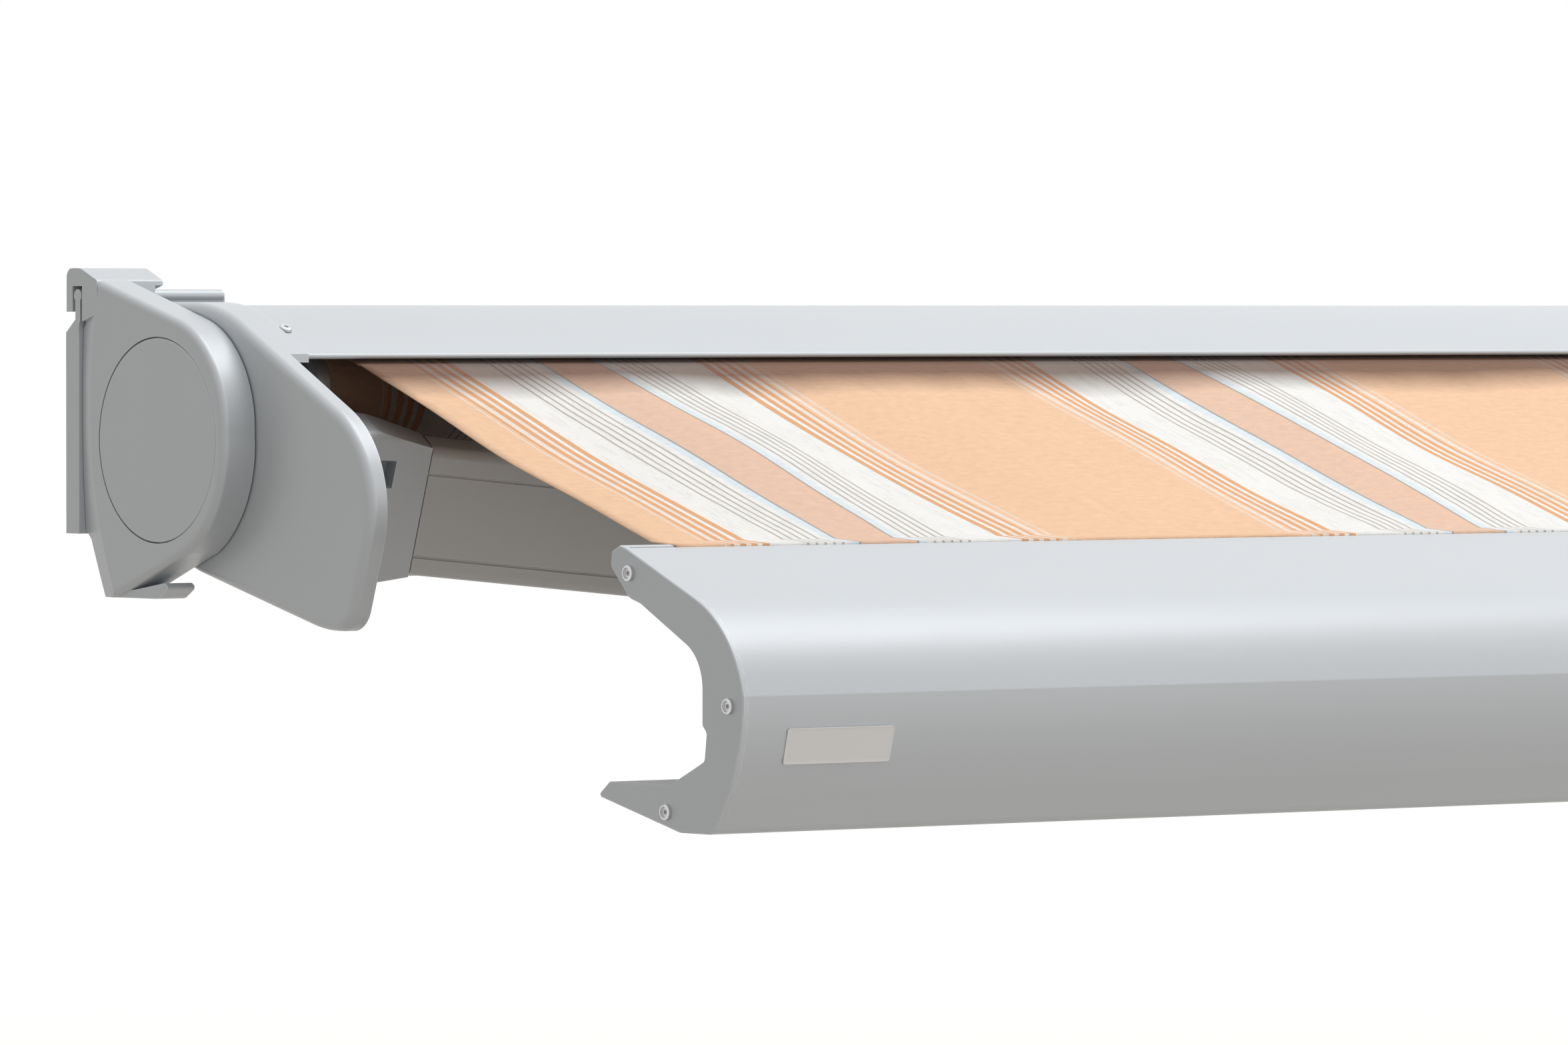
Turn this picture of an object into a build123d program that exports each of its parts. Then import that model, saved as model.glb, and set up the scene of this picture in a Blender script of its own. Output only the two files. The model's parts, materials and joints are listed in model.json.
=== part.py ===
from build123d import *
import os
from math import atan2, cos, degrees, radians, sin

os.makedirs("parts", exist_ok=True)

# Folding-arm cassette awning for a camper or caravan wall, front bar partly out.
# X runs along the awning, +Y points into the wall, +Z is up. The origin lies on
# the wall plane, in the middle of the four wall bolts, level with the tilt axis.
# Lengths are in millimetres and angles in degrees.

# Overall layout. Every "inboard" value is measured from a bracket's outer face.
WIDTH = 1500.0
PITCH = 18.2
TILT_Y = -85.0
BRACKET_X = 20.0
CHEEK_X = 21.0
CASSETTE_X = 44.0
BAR_END_X = 46.0
FABRIC_EDGE_X = 78.0
RUNNING = 0.05
SEAT = 0.4

# Wall rail and its four bolts
RAIL_X = (0.3, 93.0)
RAIL_THICK = 12.0
BOLT_X = 70.0
BOLT_Z = 36.0
BOLT_HOLE_R = 4.5

# Screw that locks the bracket to the rail
LOCK_X = 15.0
LOCK_Z = -30.0
LOCK_R = 3.0

# Tilt bracket and its cap
CAP_R = 54.0
CAP_DEEP = 4.0
TILT_BOLT_R = 8.0
BOLT_END_X = 43.0

# Roller
ROLLER_Y = -107.0
ROLLER_Z = 25.5
TUBE_R = 25.0
ROLL_R = 29.0

# Folding arms. Both pivots of an arm stay on one line across the bar.
SHOULDER_X = 66.0
SHOULDER_Y = -148.0
SHOULDER_Z = -29.3
UPPER_LENGTH = 455.0
FORE_LENGTH = 420.0
UPPER_ANGLE = 21.0
UPPER_CLOSED = 2.0
FORE_ANGLE = 21.808
FORE_CLOSED = 1.896
UPPER_WIDE = 26.0
UPPER_HIGH = 71.0
FORE_WIDE = 22.0
FORE_HIGH = 50.0
ARM_WALL = 2.4
FORK_HIGH = 85.0
EYE_HALF = 27.5
FOOT_BOLTS = ((-15, 40), (15, 40), (-15, 76), (15, 76))
FOOT_BOLT_R = 2.5
SHOULDER_PIN_R = 8.0
ELBOW_PIN_R = 6.0
WRIST_PIN_R = 5.0
OPEN_PIVOT_PLAY = 0.9

# Bolts of the front brackets, from the wrist
FRONT_BOLT_X = 22.0
BOLT_ROW_Z = -5.0

# Front bar: how far it stands out of its closed place, along the arms' plane
BAR_OUT = 291.5
BAR_WALL = 2.6
CAP_THICK = 3.0

FORWARD = Vector(0, -cos(radians(PITCH)), -sin(radians(PITCH)))
NORMAL = Vector(0, -sin(radians(PITCH)), cos(radians(PITCH)))
ACROSS = Vector(1, 0, 0)


def inboard(distance):
    """X of a point this far in from the left bracket's outer face."""
    return distance - WIDTH / 2


def heading(angle):
    """Direction in the arms' plane, turned from +X towards the front bar."""
    return ACROSS * cos(radians(angle)) + FORWARD * sin(radians(angle))


def section(distance):
    """Cross-section plane, with Y and Z as its own axes."""
    return Plane(origin=(inboard(distance), 0, 0), x_dir=(0, 1, 0), z_dir=(1, 0, 0))


def bar_section(distance):
    """Cross-section plane that carries the closed outline out to where the bar stands."""
    out = FORWARD * BAR_OUT
    return Plane(origin=(inboard(distance), out.Y, out.Z), x_dir=(0, 1, 0), z_dir=(1, 0, 0))


SHOULDER = Vector(inboard(SHOULDER_X), SHOULDER_Y, SHOULDER_Z)
ELBOW = SHOULDER + heading(UPPER_ANGLE) * UPPER_LENGTH
WRIST = ELBOW + heading(180 - FORE_ANGLE) * FORE_LENGTH
WRIST_X_IN = WRIST.X + WIDTH / 2

ARM_PLANE = Plane(origin=SHOULDER, x_dir=ACROSS, z_dir=NORMAL)
UPPER_PLANE = Plane(origin=SHOULDER, x_dir=heading(UPPER_ANGLE - UPPER_CLOSED), z_dir=NORMAL)
FORE_PLANE = Plane(origin=WRIST, x_dir=heading(FORE_CLOSED - FORE_ANGLE), z_dir=NORMAL)
WRIST_PLANE = Plane(origin=WRIST, x_dir=ACROSS, z_dir=NORMAL)

ELBOW_IN_UPPER = UPPER_PLANE.to_local_coords(ELBOW)
ELBOW_IN_FORE = FORE_PLANE.to_local_coords(ELBOW)


def finish(builder, name):
    """Label one finished piece and write its file."""
    builder.part.label = name
    export_step(builder.part, f"parts/{name}.step")


def finish_pair(builder, name):
    """Write a left piece, and its mirror image as the right one."""
    finish(builder, f"{name}_left")
    with BuildPart() as right:
        mirror(builder.part, about=Plane.YZ)
    finish(right, f"{name}_right")


def finish_both(builder, name):
    """Write like pieces of both ends as one node of separate solids."""
    with BuildPart() as both:
        add(builder.part)
        mirror(builder.part, about=Plane.YZ)
    finish(both, name)


# Wall rail: a thick plate with a bead along its top that the bracket hangs on

RAIL_BOTTOM = -50.0
RAIL_TOP = 60.0
BEAD_Y = -11.0
BEAD_Z = 75.5
BEAD_R = 3.4
NECK = 2.2
BOLT_SEAT_R = 10.0
BOLT_SEAT_DEEP = 6.0
LOCK_DEPTH = 9.0

with BuildPart() as wall_rail:
    with BuildSketch(section(RAIL_X[0])):
        with BuildLine():
            Polyline(
                (0, RAIL_BOTTOM),
                (-RAIL_THICK, RAIL_BOTTOM),
                (-RAIL_THICK, RAIL_TOP),
                (BEAD_Y - NECK, RAIL_TOP + 3),
                (BEAD_Y - NECK, BEAD_Z),
                (BEAD_Y + NECK, BEAD_Z),
                (BEAD_Y + NECK, RAIL_TOP + 3),
                (0, RAIL_TOP - 4),
                close=True,
            )
        make_face()
        with Locations((BEAD_Y, BEAD_Z)):
            Circle(BEAD_R)
    extrude(amount=RAIL_X[1] - RAIL_X[0])
    with Locations(Plane(origin=(inboard(BOLT_X), -RAIL_THICK, 0), x_dir=ACROSS, z_dir=(0, -1, 0))):
        with GridLocations(0, 2 * BOLT_Z, 1, 2):
            CounterBoreHole(BOLT_HOLE_R, BOLT_SEAT_R, BOLT_SEAT_DEEP)
    with Locations(Plane(origin=(inboard(LOCK_X), -RAIL_THICK, LOCK_Z), x_dir=ACROSS, z_dir=(0, -1, 0))):
        Hole(LOCK_R + RUNNING, depth=LOCK_DEPTH)
    bead_end = wall_rail.faces().sort_by(Axis.X)[-1]
    chamfer(bead_end.edges().filter_by(GeomType.CIRCLE), 1.2)
finish_pair(wall_rail, "wall_rail")


# Tilt bracket: cast side piece that hooks over the rail and holds the cassette on its axis

HOOK_X = 42.0
HOOK_LEDGE = 5.0
TONGUE_X = 3.0
BRACKET_WALL = 5.0
RIM_R = 4.0
RIB = 3.5
RIB_LONG = 64.0
RIB_COUNT = 6
BOSS_R = 24.0
BOLT_HEAD_R = 13.0
BOLT_HEAD_DEEP = 6.0
BAND_SLOPE = 0.24
BAND_WIDE = 30.0


def bracket_outline():
    """Side view of the bracket: top slope, round front and slanting foot."""
    with BuildLine() as outline:
        top = Line((-26, 84.5), (-103, 63))
        front = ThreePointArc(top @ 1, (-134.5, 40.5), (-145.5, 3))
        under = ThreePointArc(front @ 1, (-137, -34), (-111.5, -58.6))
        Polyline(
            under @ 1,
            (-69, -74.7),
            (-45, -83),
            (-33, -83),
            (-19, -53),
            (-RAIL_THICK - SEAT, -48),
            (-RAIL_THICK - SEAT, 58),
            (-15.6, 61),
            (-15.6, 84.5),
            top @ 0,
        )
    return outline


# Shallow arc on the bracket's face; the band behind it leans back
with BuildLine() as band_edge:
    ThreePointArc((-32, 83), (-22.8, 15), (-44, -78))
band_arc = band_edge.edges()[0]
band_axis = Axis((inboard(0), band_arc.arc_center.X, band_arc.arc_center.Y), (1, 0, 0))
band_plane = Plane(origin=band_axis.position, x_dir=(0, 0, 1), z_dir=(0, 1, 0))


def hook_section(low):
    """Hook over the rail's bead, with its front skirt down to this height."""
    with BuildLine() as outline:
        over = FilletPolyline(
            (-1, 67),
            (-1, 90),
            (-14, 90),
            (-29.5, 83.6),
            (-29.5, low),
            radius=[5, 12, 1.5],
        )
        Polyline(over @ 1, (-15.6, low - 4), (-15.6, 80.6), (-6.6, 80.6), (-6.6, 67), over @ 0)
    return outline


with BuildPart() as tilt_bracket:
    with BuildSketch(section(0)):
        with BuildLine():
            add(bracket_outline().line)
        make_face()
    extrude(amount=BRACKET_X)
    face = tilt_bracket.faces().sort_by(Axis.X)[0]
    rim = [e for e in face.edges() if e.center().Y < -50 and e.center().Z > -70]
    fillet(rim, RIM_R)
    with BuildSketch(band_plane):
        Polygon(
            (band_arc.radius, 0),
            (band_arc.radius + BAND_WIDE, BAND_WIDE * BAND_SLOPE),
            (band_arc.radius + BAND_WIDE, -BAND_WIDE),
            (band_arc.radius, -BAND_WIDE),
            align=None,
        )
    revolve(axis=band_axis, mode=Mode.SUBTRACT)
    # hollow back with the boss and six ribs left standing
    with BuildSketch(section(CAP_DEEP + BRACKET_WALL)):
        with BuildLine():
            add(bracket_outline().line)
        make_face()
        offset(amount=-BRACKET_WALL, mode=Mode.REPLACE)
        with Locations((TILT_Y, 0)):
            Circle(BOSS_R, mode=Mode.SUBTRACT)
            with PolarLocations(BOSS_R + RIB_LONG / 2 - 2, RIB_COUNT, start_angle=180 / RIB_COUNT):
                Rectangle(RIB_LONG, RIB, mode=Mode.SUBTRACT)
    extrude(amount=BRACKET_X, mode=Mode.SUBTRACT)
    # round seat of the cap, head seat and bore of the tilt bolt
    with BuildSketch(section(0)):
        with Locations((TILT_Y, 0)):
            Circle(CAP_R)
    extrude(amount=CAP_DEEP, mode=Mode.SUBTRACT)
    with BuildSketch(section(CAP_DEEP)):
        with Locations((TILT_Y, 0)):
            Circle(BOLT_HEAD_R + SEAT)
    extrude(amount=BOLT_HEAD_DEEP, mode=Mode.SUBTRACT)
    with BuildSketch(section(0)):
        with Locations((TILT_Y, 0)):
            Circle(TILT_BOLT_R + RUNNING)
    extrude(amount=BRACKET_X, mode=Mode.SUBTRACT)
    # hook over the rail's bead and down behind it; its skirt ends before its top does
    with BuildSketch(section(0)):
        with BuildLine():
            add(hook_section(66).line)
        make_face()
    extrude(amount=HOOK_X - HOOK_LEDGE)
    with BuildSketch(section(HOOK_X - HOOK_LEDGE)):
        with BuildLine():
            add(hook_section(81).line)
        make_face()
    extrude(amount=HOOK_LEDGE)
    # foot tongue with a slot above it, under the round rim
    with BuildSketch(section(TONGUE_X)):
        with BuildLine():
            tongue = FilletPolyline(
                (-40, -83),
                (-82, -83),
                (-92, -77),
                (-88, -74.6),
                (-60, -78.6),
                radius=[7, 1.5, 1],
            )
            Polyline(tongue @ 1, (-45, -80), tongue @ 0)
        make_face()
    extrude(amount=BRACKET_X - TONGUE_X)
    # through hole of the screw that locks the bracket to the rail
    with Locations(Plane(origin=(inboard(LOCK_X), -24, LOCK_Z), x_dir=ACROSS, z_dir=(0, -1, 0))):
        Hole(LOCK_R + RUNNING, depth=14)
finish_pair(tilt_bracket, "tilt_bracket")


# Round cap that covers the tilt bolt, with a ring-shaped relief on its back

CAP_GAP = 0.6
RELIEF_DEEP = 1.6

with BuildPart() as pivot_cap:
    with BuildSketch(section(0)):
        with Locations((TILT_Y, 0)):
            Circle(CAP_R - CAP_GAP)
    extrude(amount=CAP_DEEP - SEAT)
    chamfer(pivot_cap.faces().sort_by(Axis.X)[0].edges(), 0.5)
    with BuildSketch(section(CAP_DEEP - SEAT)):
        with Locations((TILT_Y, 0)):
            Circle(CAP_R - 6)
            Circle(BOLT_HEAD_R + 6, mode=Mode.SUBTRACT)
    extrude(amount=-RELIEF_DEEP, mode=Mode.SUBTRACT)
finish_pair(pivot_cap, "pivot_cap")


# Tilt bolts, one at each end: the cassette turns on them

TILT_SOCKET_R = 5.0

with BuildPart() as tilt_bolt:
    with BuildSketch(section(CAP_DEEP + 0.2)):
        with Locations((TILT_Y, 0)):
            Circle(BOLT_HEAD_R)
            RegularPolygon(TILT_SOCKET_R, 6, mode=Mode.SUBTRACT)
    extrude(amount=BOLT_HEAD_DEEP - 0.2)
    with BuildSketch(section(CAP_DEEP + 3)):
        with Locations((TILT_Y, 0)):
            Circle(TILT_BOLT_R)
    extrude(amount=BOLT_END_X - CAP_DEEP - 3)
    chamfer(tilt_bolt.faces().sort_by(Axis.X)[-1].edges(), 1.0)
finish_both(tilt_bolt, "tilt_bolts")


# Socket-head screws that lock the brackets to the rail

LOCK_HEAD_R = 4.8
LOCK_HEAD = 4.0
LOCK_SOCKET_R = 2.5
LOCK_SHANK = 13.0

with BuildPart() as lock_screw:
    lock_seat = (inboard(LOCK_X), -RAIL_THICK - SEAT - BRACKET_WALL, LOCK_Z)
    lock_plane = Plane(origin=lock_seat, z_dir=(0, -1, 0))
    with BuildSketch(lock_plane):
        Circle(LOCK_HEAD_R)
    extrude(amount=LOCK_HEAD)
    with BuildSketch(lock_plane.offset(LOCK_HEAD)):
        RegularPolygon(LOCK_SOCKET_R, 6)
    extrude(amount=-LOCK_HEAD / 2, mode=Mode.SUBTRACT)
    with BuildSketch(lock_plane):
        Circle(LOCK_R)
    extrude(amount=-LOCK_SHANK)
finish_both(lock_screw, "lock_screws")


# Front curve of the cover, as the middle of its sheet, and the seat of the cover screw on it
COVER_WALL = 2.4
COVER_LIP = (-155.4, 44.0)
COVER_SCREW_X = 48.0
SCREW_SHARE = 0.66
LIP_R = 1.5
LEDGE_LONG = 15.0
LEDGE_WIDE = 8.0
with BuildLine() as cover_front:
    ThreePointArc((-90, 69.2), (-124, 60.2), (-152.8, 45.2))
seat = cover_front.line @ SCREW_SHARE
seat_tangent = cover_front.line % SCREW_SHARE
ledge_turn = degrees(atan2(-seat_tangent.Y, -seat_tangent.X))


def screw_plane(side):
    """Plane on the cover's outer face, square to the screw of the left (1) or right (-1) end."""
    normal = Vector(0, seat_tangent.Y, -seat_tangent.X)
    foot = Vector(side * inboard(COVER_SCREW_X), seat.X, seat.Y)
    return Plane(origin=foot + normal * (COVER_WALL / 2), x_dir=ACROSS, z_dir=normal)


# Cheeks: cast ends of the cassette, open towards the inside

NOSE_X = 32.0
CHEEK_WALL = 4.0
WEB_X = 26.0
TILT_BOSS_R = 15.0
HUB_R = 16.0
BEARING_R = 12.0
PORTS = ((-41.5, -43.5), (-41.0, 2.0), (-41.0, 44.0))
PORT_R = 5.0
SCREW_R = 2.0
SCREW_HEAD_R = 4.3
SCREW_HEAD = 2.3
RIM_ROUND = 5.0


def cheek_outline():
    """Side view of a cheek: its front follows the closed bar, its back clears the rail when tilted."""
    with BuildLine() as outline:
        front = FilletPolyline(
            (-58, 72),
            (-108.3, 72),
            (-259.8, -6.4),
            (-228.7, -97),
            (-203, -97),
            (-90, -69.1),
            radius=[100, 58, 16, 90],
        )
        Polyline(front @ 1, (-37, -51), (-31, -40), (-30, 30), (-34, 50), front @ 0)
    return outline


def cheek(has_hub):
    """One cheek at the left end, with or without the hub of the roller's plain bearing."""
    with BuildPart() as body:
        with BuildSketch(section(CHEEK_X)):
            with BuildLine():
                add(cheek_outline().line)
            make_face()
        extrude(amount=CASSETTE_X - CHEEK_X)
        face = body.faces().sort_by(Axis.X)[0]
        fillet([e for e in face.edges() if e.center().Y < -100 and e.center().Z > -90], RIM_ROUND)
        # hollow towards the inside
        with BuildSketch(section(WEB_X)):
            with BuildLine():
                add(cheek_outline().line)
            make_face()
            offset(amount=-CHEEK_WALL, mode=Mode.REPLACE)
        extrude(amount=CASSETTE_X, mode=Mode.SUBTRACT)
        # the rim is lower along the nose and the underside, where the bar closes
        with BuildSketch(section(NOSE_X)):
            Polygon((-160, 60), (-260, 20), (-260, -110), (-75, -110), (-75, -40), (-160, -40), align=None)
        extrude(amount=CASSETTE_X, mode=Mode.SUBTRACT)
        with BuildSketch(section(CHEEK_X + 1)):
            with Locations((TILT_Y, 0)):
                Circle(TILT_BOSS_R)
        extrude(amount=BOLT_END_X - CHEEK_X)
        # bosses round the screws into the base profile
        with BuildSketch(section(CHEEK_X + 1)):
            with Locations(PORTS):
                Circle(PORT_R + 1)
        extrude(amount=CASSETTE_X - CHEEK_X - 1)
        with BuildSketch(section(0)):
            with Locations((TILT_Y, 0)):
                Circle(TILT_BOLT_R + RUNNING)
        extrude(amount=CASSETTE_X, mode=Mode.SUBTRACT)
        if has_hub:
            with BuildSketch(section(CHEEK_X + 1)):
                with Locations((ROLLER_Y, ROLLER_Z)):
                    Circle(HUB_R)
            extrude(amount=CASSETTE_X - CHEEK_X - 5)
            with BuildSketch(section(WEB_X)):
                with Locations((ROLLER_Y, ROLLER_Z)):
                    Circle(BEARING_R + RUNNING)
            extrude(amount=CASSETTE_X, mode=Mode.SUBTRACT)
        for port in PORTS:
            with BuildSketch(section(0)):
                with Locations(port):
                    Circle(SCREW_R + RUNNING)
            extrude(amount=CASSETTE_X, mode=Mode.SUBTRACT)
            with BuildSketch(section(CHEEK_X)):
                with Locations(port):
                    Circle(SCREW_HEAD_R + 0.1)
            extrude(amount=SCREW_HEAD + 0.1, mode=Mode.SUBTRACT)
        # ribs of the web, from the tilt boss to the nose
        with BuildSketch(section(CHEEK_X + 1)):
            Polygon((-100, -2), (-243, -30), (-243, -33), (-100, -5), align=None)
            Polygon((-97, -9), (-226, -84), (-226, -87), (-97, -12.5), align=None)
            Polygon((-137, 10.5), (-196, 22), (-196, 25), (-137, 13.5), align=None)
        extrude(amount=NOSE_X - CHEEK_X - 3)
        # ledge under the rim and the cover's corner, with the hole of the cover screw
        with BuildSketch(section(CHEEK_X + 1)):
            with Locations(Location((seat.X, seat.Y), ledge_turn)):
                with Locations((0, -LEDGE_WIDE / 2 - COVER_WALL / 2 - 0.2)):
                    Rectangle(LEDGE_LONG, LEDGE_WIDE)
        extrude(amount=COVER_SCREW_X + 6 - CHEEK_X - 1)
        with Locations(screw_plane(1)):
            Hole(SCREW_R + RUNNING, depth=10)
    return body


left_cheek = cheek(has_hub=True)
finish(left_cheek, "cheek_left")
plain_cheek = cheek(has_hub=False)
with BuildPart() as right_cheek:
    mirror(plain_cheek.part, about=Plane.YZ)
finish(right_cheek, "cheek_right")


# Cover of the cassette: flat top, rounded front slope and a beaded lip over the fabric

with BuildPart() as top_cover:
    with BuildSketch(section(CASSETTE_X + 0.1)):
        with BuildLine():
            Polyline((-37.7, 52), (-37.7, 69.2), (-90, 69.2))
            add(cover_front.line)
            Line(cover_front.line @ 1, COVER_LIP)
        trace(line_width=COVER_WALL)
        with Locations(COVER_LIP):
            Circle(LIP_R)
        # stiffening ribs inside
        with Locations((-60, 66.5), (-80, 66.5)):
            Rectangle(2, 4)
    extrude(amount=WIDTH - 2 * CASSETTE_X - 0.2)
    with Locations(screw_plane(1), screw_plane(-1)):
        Hole(SCREW_R + RUNNING, depth=5)
finish(top_cover, "top_cover")


# Base profile of the cassette: sloping floor under the arms and a back wall with screw ports

FLOOR_N = -52.25
FLOOR_WALL = 2.5
FLOOR_FRONT_Y = -107.0
BACK_Y = -35.0


def floor_z(y):
    """Height of the floor's middle plane, which is parallel to the arms' plane."""
    drop = (FLOOR_N + sin(radians(PITCH)) * (y - SHOULDER_Y)) / cos(radians(PITCH))
    return SHOULDER_Z + drop


with BuildPart() as base_profile:
    with BuildSketch(section(CASSETTE_X + 0.1)):
        with BuildLine():
            Polyline((FLOOR_FRONT_Y, floor_z(FLOOR_FRONT_Y)), (BACK_Y, floor_z(BACK_Y)), (BACK_Y, 57))
        trace(line_width=FLOOR_WALL)
        with Locations((FLOOR_FRONT_Y, floor_z(FLOOR_FRONT_Y))):
            Circle(1.8)
        with Locations(PORTS):
            Circle(PORT_R)
        # hooks of the back wall against the cover's leg
        with Locations((-37.6, 49)):
            Rectangle(4, 2.4)
        with Locations(PORTS):
            Circle(SCREW_R + RUNNING, mode=Mode.SUBTRACT)
    extrude(amount=WIDTH - 2 * CASSETTE_X - 0.2)
    for side in (1, -1):
        foot = Plane(origin=(side * SHOULDER.X, SHOULDER_Y, SHOULDER_Z), x_dir=ACROSS, z_dir=NORMAL)
        with Locations(foot.offset(FLOOR_N + 3)):
            with Locations(*FOOT_BOLTS):
                Hole(FOOT_BOLT_R + RUNNING, depth=6)
finish(base_profile, "base_profile")


# Pan-head screws of the cover and cheese-head screws sunk in the cheeks

PAN_R = 3.5
PAN_HIGH = 1.8
PAN_GAP = 0.3
CROSS_LONG = 3.0
CROSS_WIDE = 0.7
CROSS_DEEP = 1.0

with BuildPart() as cover_screw:
    with BuildSketch(screw_plane(1).offset(PAN_GAP)):
        Circle(PAN_R)
    extrude(amount=PAN_HIGH)
    fillet(cover_screw.faces().sort_by(Axis((0, 0, 0), screw_plane(1).z_dir))[-1].edges(), PAN_HIGH / 2)
    with BuildSketch(screw_plane(1).offset(PAN_GAP + PAN_HIGH)):
        Rectangle(CROSS_LONG, CROSS_WIDE)
        Rectangle(CROSS_WIDE, CROSS_LONG)
    extrude(amount=-CROSS_DEEP, mode=Mode.SUBTRACT)
    with BuildSketch(screw_plane(1).offset(PAN_GAP)):
        Circle(SCREW_R)
    extrude(amount=-8.0)
finish_both(cover_screw, "cover_screws")

with BuildPart() as cheek_screw:
    with BuildSketch(section(CHEEK_X + 0.1)):
        with Locations(PORTS):
            Circle(SCREW_HEAD_R)
    extrude(amount=SCREW_HEAD - 0.1)
    with BuildSketch(section(CHEEK_X + 0.1)):
        with Locations(PORTS):
            Rectangle(CROSS_LONG, CROSS_WIDE)
            Rectangle(CROSS_WIDE, CROSS_LONG)
    extrude(amount=CROSS_DEEP, mode=Mode.SUBTRACT)
    with BuildSketch(section(CHEEK_X + 2)):
        with Locations(PORTS):
            Circle(SCREW_R)
    extrude(amount=36.0)
finish_both(cheek_screw, "cheek_screws")


# Plain bearing of the roller at the left, gearbox with its screws at the right

SPIGOT_R = 7.0

with BuildPart() as roller_bearing:
    with BuildSketch(section(WEB_X + 0.2)):
        with Locations((ROLLER_Y, ROLLER_Z)):
            Circle(BEARING_R)
    extrude(amount=CASSETTE_X - WEB_X - 2)
    with BuildSketch(section(CASSETTE_X - 4 + 0.1)):
        with Locations((ROLLER_Y, ROLLER_Z)):
            Circle(HUB_R)
    extrude(amount=3.0)
    fillet(roller_bearing.edges().sort_by(Axis.X)[-1], 1.0)
    with BuildSketch(section(WEB_X)):
        with Locations((ROLLER_Y, ROLLER_Z)):
            Circle(SPIGOT_R + RUNNING)
    extrude(amount=CASSETTE_X, mode=Mode.SUBTRACT)
finish(roller_bearing, "roller_bearing")

WORM_Y = -125.5
WORM_X = 38.0
WORM_R = 4.0
GEAR_SCREW_R = 12.0

with BuildPart() as left_hand_gearbox:
    with BuildSketch(section(WEB_X + 0.2)):
        with Locations((ROLLER_Y, ROLLER_Z)):
            Circle(HUB_R)
        Polygon((-134, 6), (-134, 38), (-128, 42), (-107, 41.5), (-117, 6), align=None)
    extrude(amount=CASSETTE_X - WEB_X)
    fillet(left_hand_gearbox.faces().sort_by(Axis.X)[-1].edges(), 1.5)
    with BuildSketch(section(WEB_X)):
        with Locations((ROLLER_Y, ROLLER_Z)):
            Circle(SPIGOT_R + RUNNING)
            with PolarLocations(GEAR_SCREW_R, 3, start_angle=-30):
                Circle(SCREW_R + RUNNING)
    extrude(amount=CASSETTE_X, mode=Mode.SUBTRACT)
    with BuildSketch(Plane(origin=(inboard(WORM_X), WORM_Y, 0))):
        Circle(WORM_R + RUNNING)
    extrude(amount=36.0, mode=Mode.SUBTRACT)
with BuildPart() as gearbox:
    mirror(left_hand_gearbox.part, about=Plane.YZ)
finish(gearbox, "gearbox")

with BuildPart() as left_hand_screws:
    with BuildSketch(section(CASSETTE_X + 0.25)):
        with Locations((ROLLER_Y, ROLLER_Z)):
            with PolarLocations(GEAR_SCREW_R, 3, start_angle=-30):
                Circle(3.4)
    extrude(amount=2.0)
    with BuildSketch(section(WEB_X + 0.3)):
        with Locations((ROLLER_Y, ROLLER_Z)):
            with PolarLocations(GEAR_SCREW_R, 3, start_angle=-30):
                Circle(SCREW_R)
    extrude(amount=CASSETTE_X - WEB_X)
with BuildPart() as gearbox_screws:
    mirror(left_hand_screws.part, about=Plane.YZ)
finish(gearbox_screws, "gearbox_screws")

# Crank eye below the gearbox: the winding crank hooks into its ring

EYE_RING_Z = -121.0
EYE_RING_R = 11.0
EYE_WIRE_R = 3.2
WORM_TOP = 35.5
COLLAR_Z = -98.0
COLLAR_R = 6.0
COLLAR = 5.0

with BuildPart() as crank_eye:
    crank_plane = Plane(origin=(-inboard(WORM_X), WORM_Y, 0))
    with BuildSketch(crank_plane.offset(WORM_TOP)):
        Circle(WORM_R)
    extrude(amount=EYE_RING_Z + EYE_RING_R - WORM_TOP)
    with BuildSketch(crank_plane.offset(COLLAR_Z)):
        Circle(COLLAR_R)
    extrude(amount=-COLLAR)
    rims = crank_eye.edges().filter_by(GeomType.CIRCLE)
    chamfer(rims.filter_by(lambda rim: abs(rim.radius - COLLAR_R) < RUNNING), 1.0)
    with Locations(Location((-inboard(WORM_X), WORM_Y, EYE_RING_Z), (90, 0, 0))):
        Torus(EYE_RING_R, EYE_WIRE_R)
finish(crank_eye, "crank_eye")


# Shoulder brackets: a foot on the floor, a neck below the roller and an eye for the shoulder pin

EYE_R = 19.0
NECK_WIDE = 18.0
FOOT_THICK = 7.0
HEX_R = 4.4
HEX_HIGH = 3.5
FOOT_N = FLOOR_N + FLOOR_WALL / 2 + 0.1
SIDE_PLANE = Plane(origin=SHOULDER, x_dir=FORWARD, z_dir=(-1, 0, 0))

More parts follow.
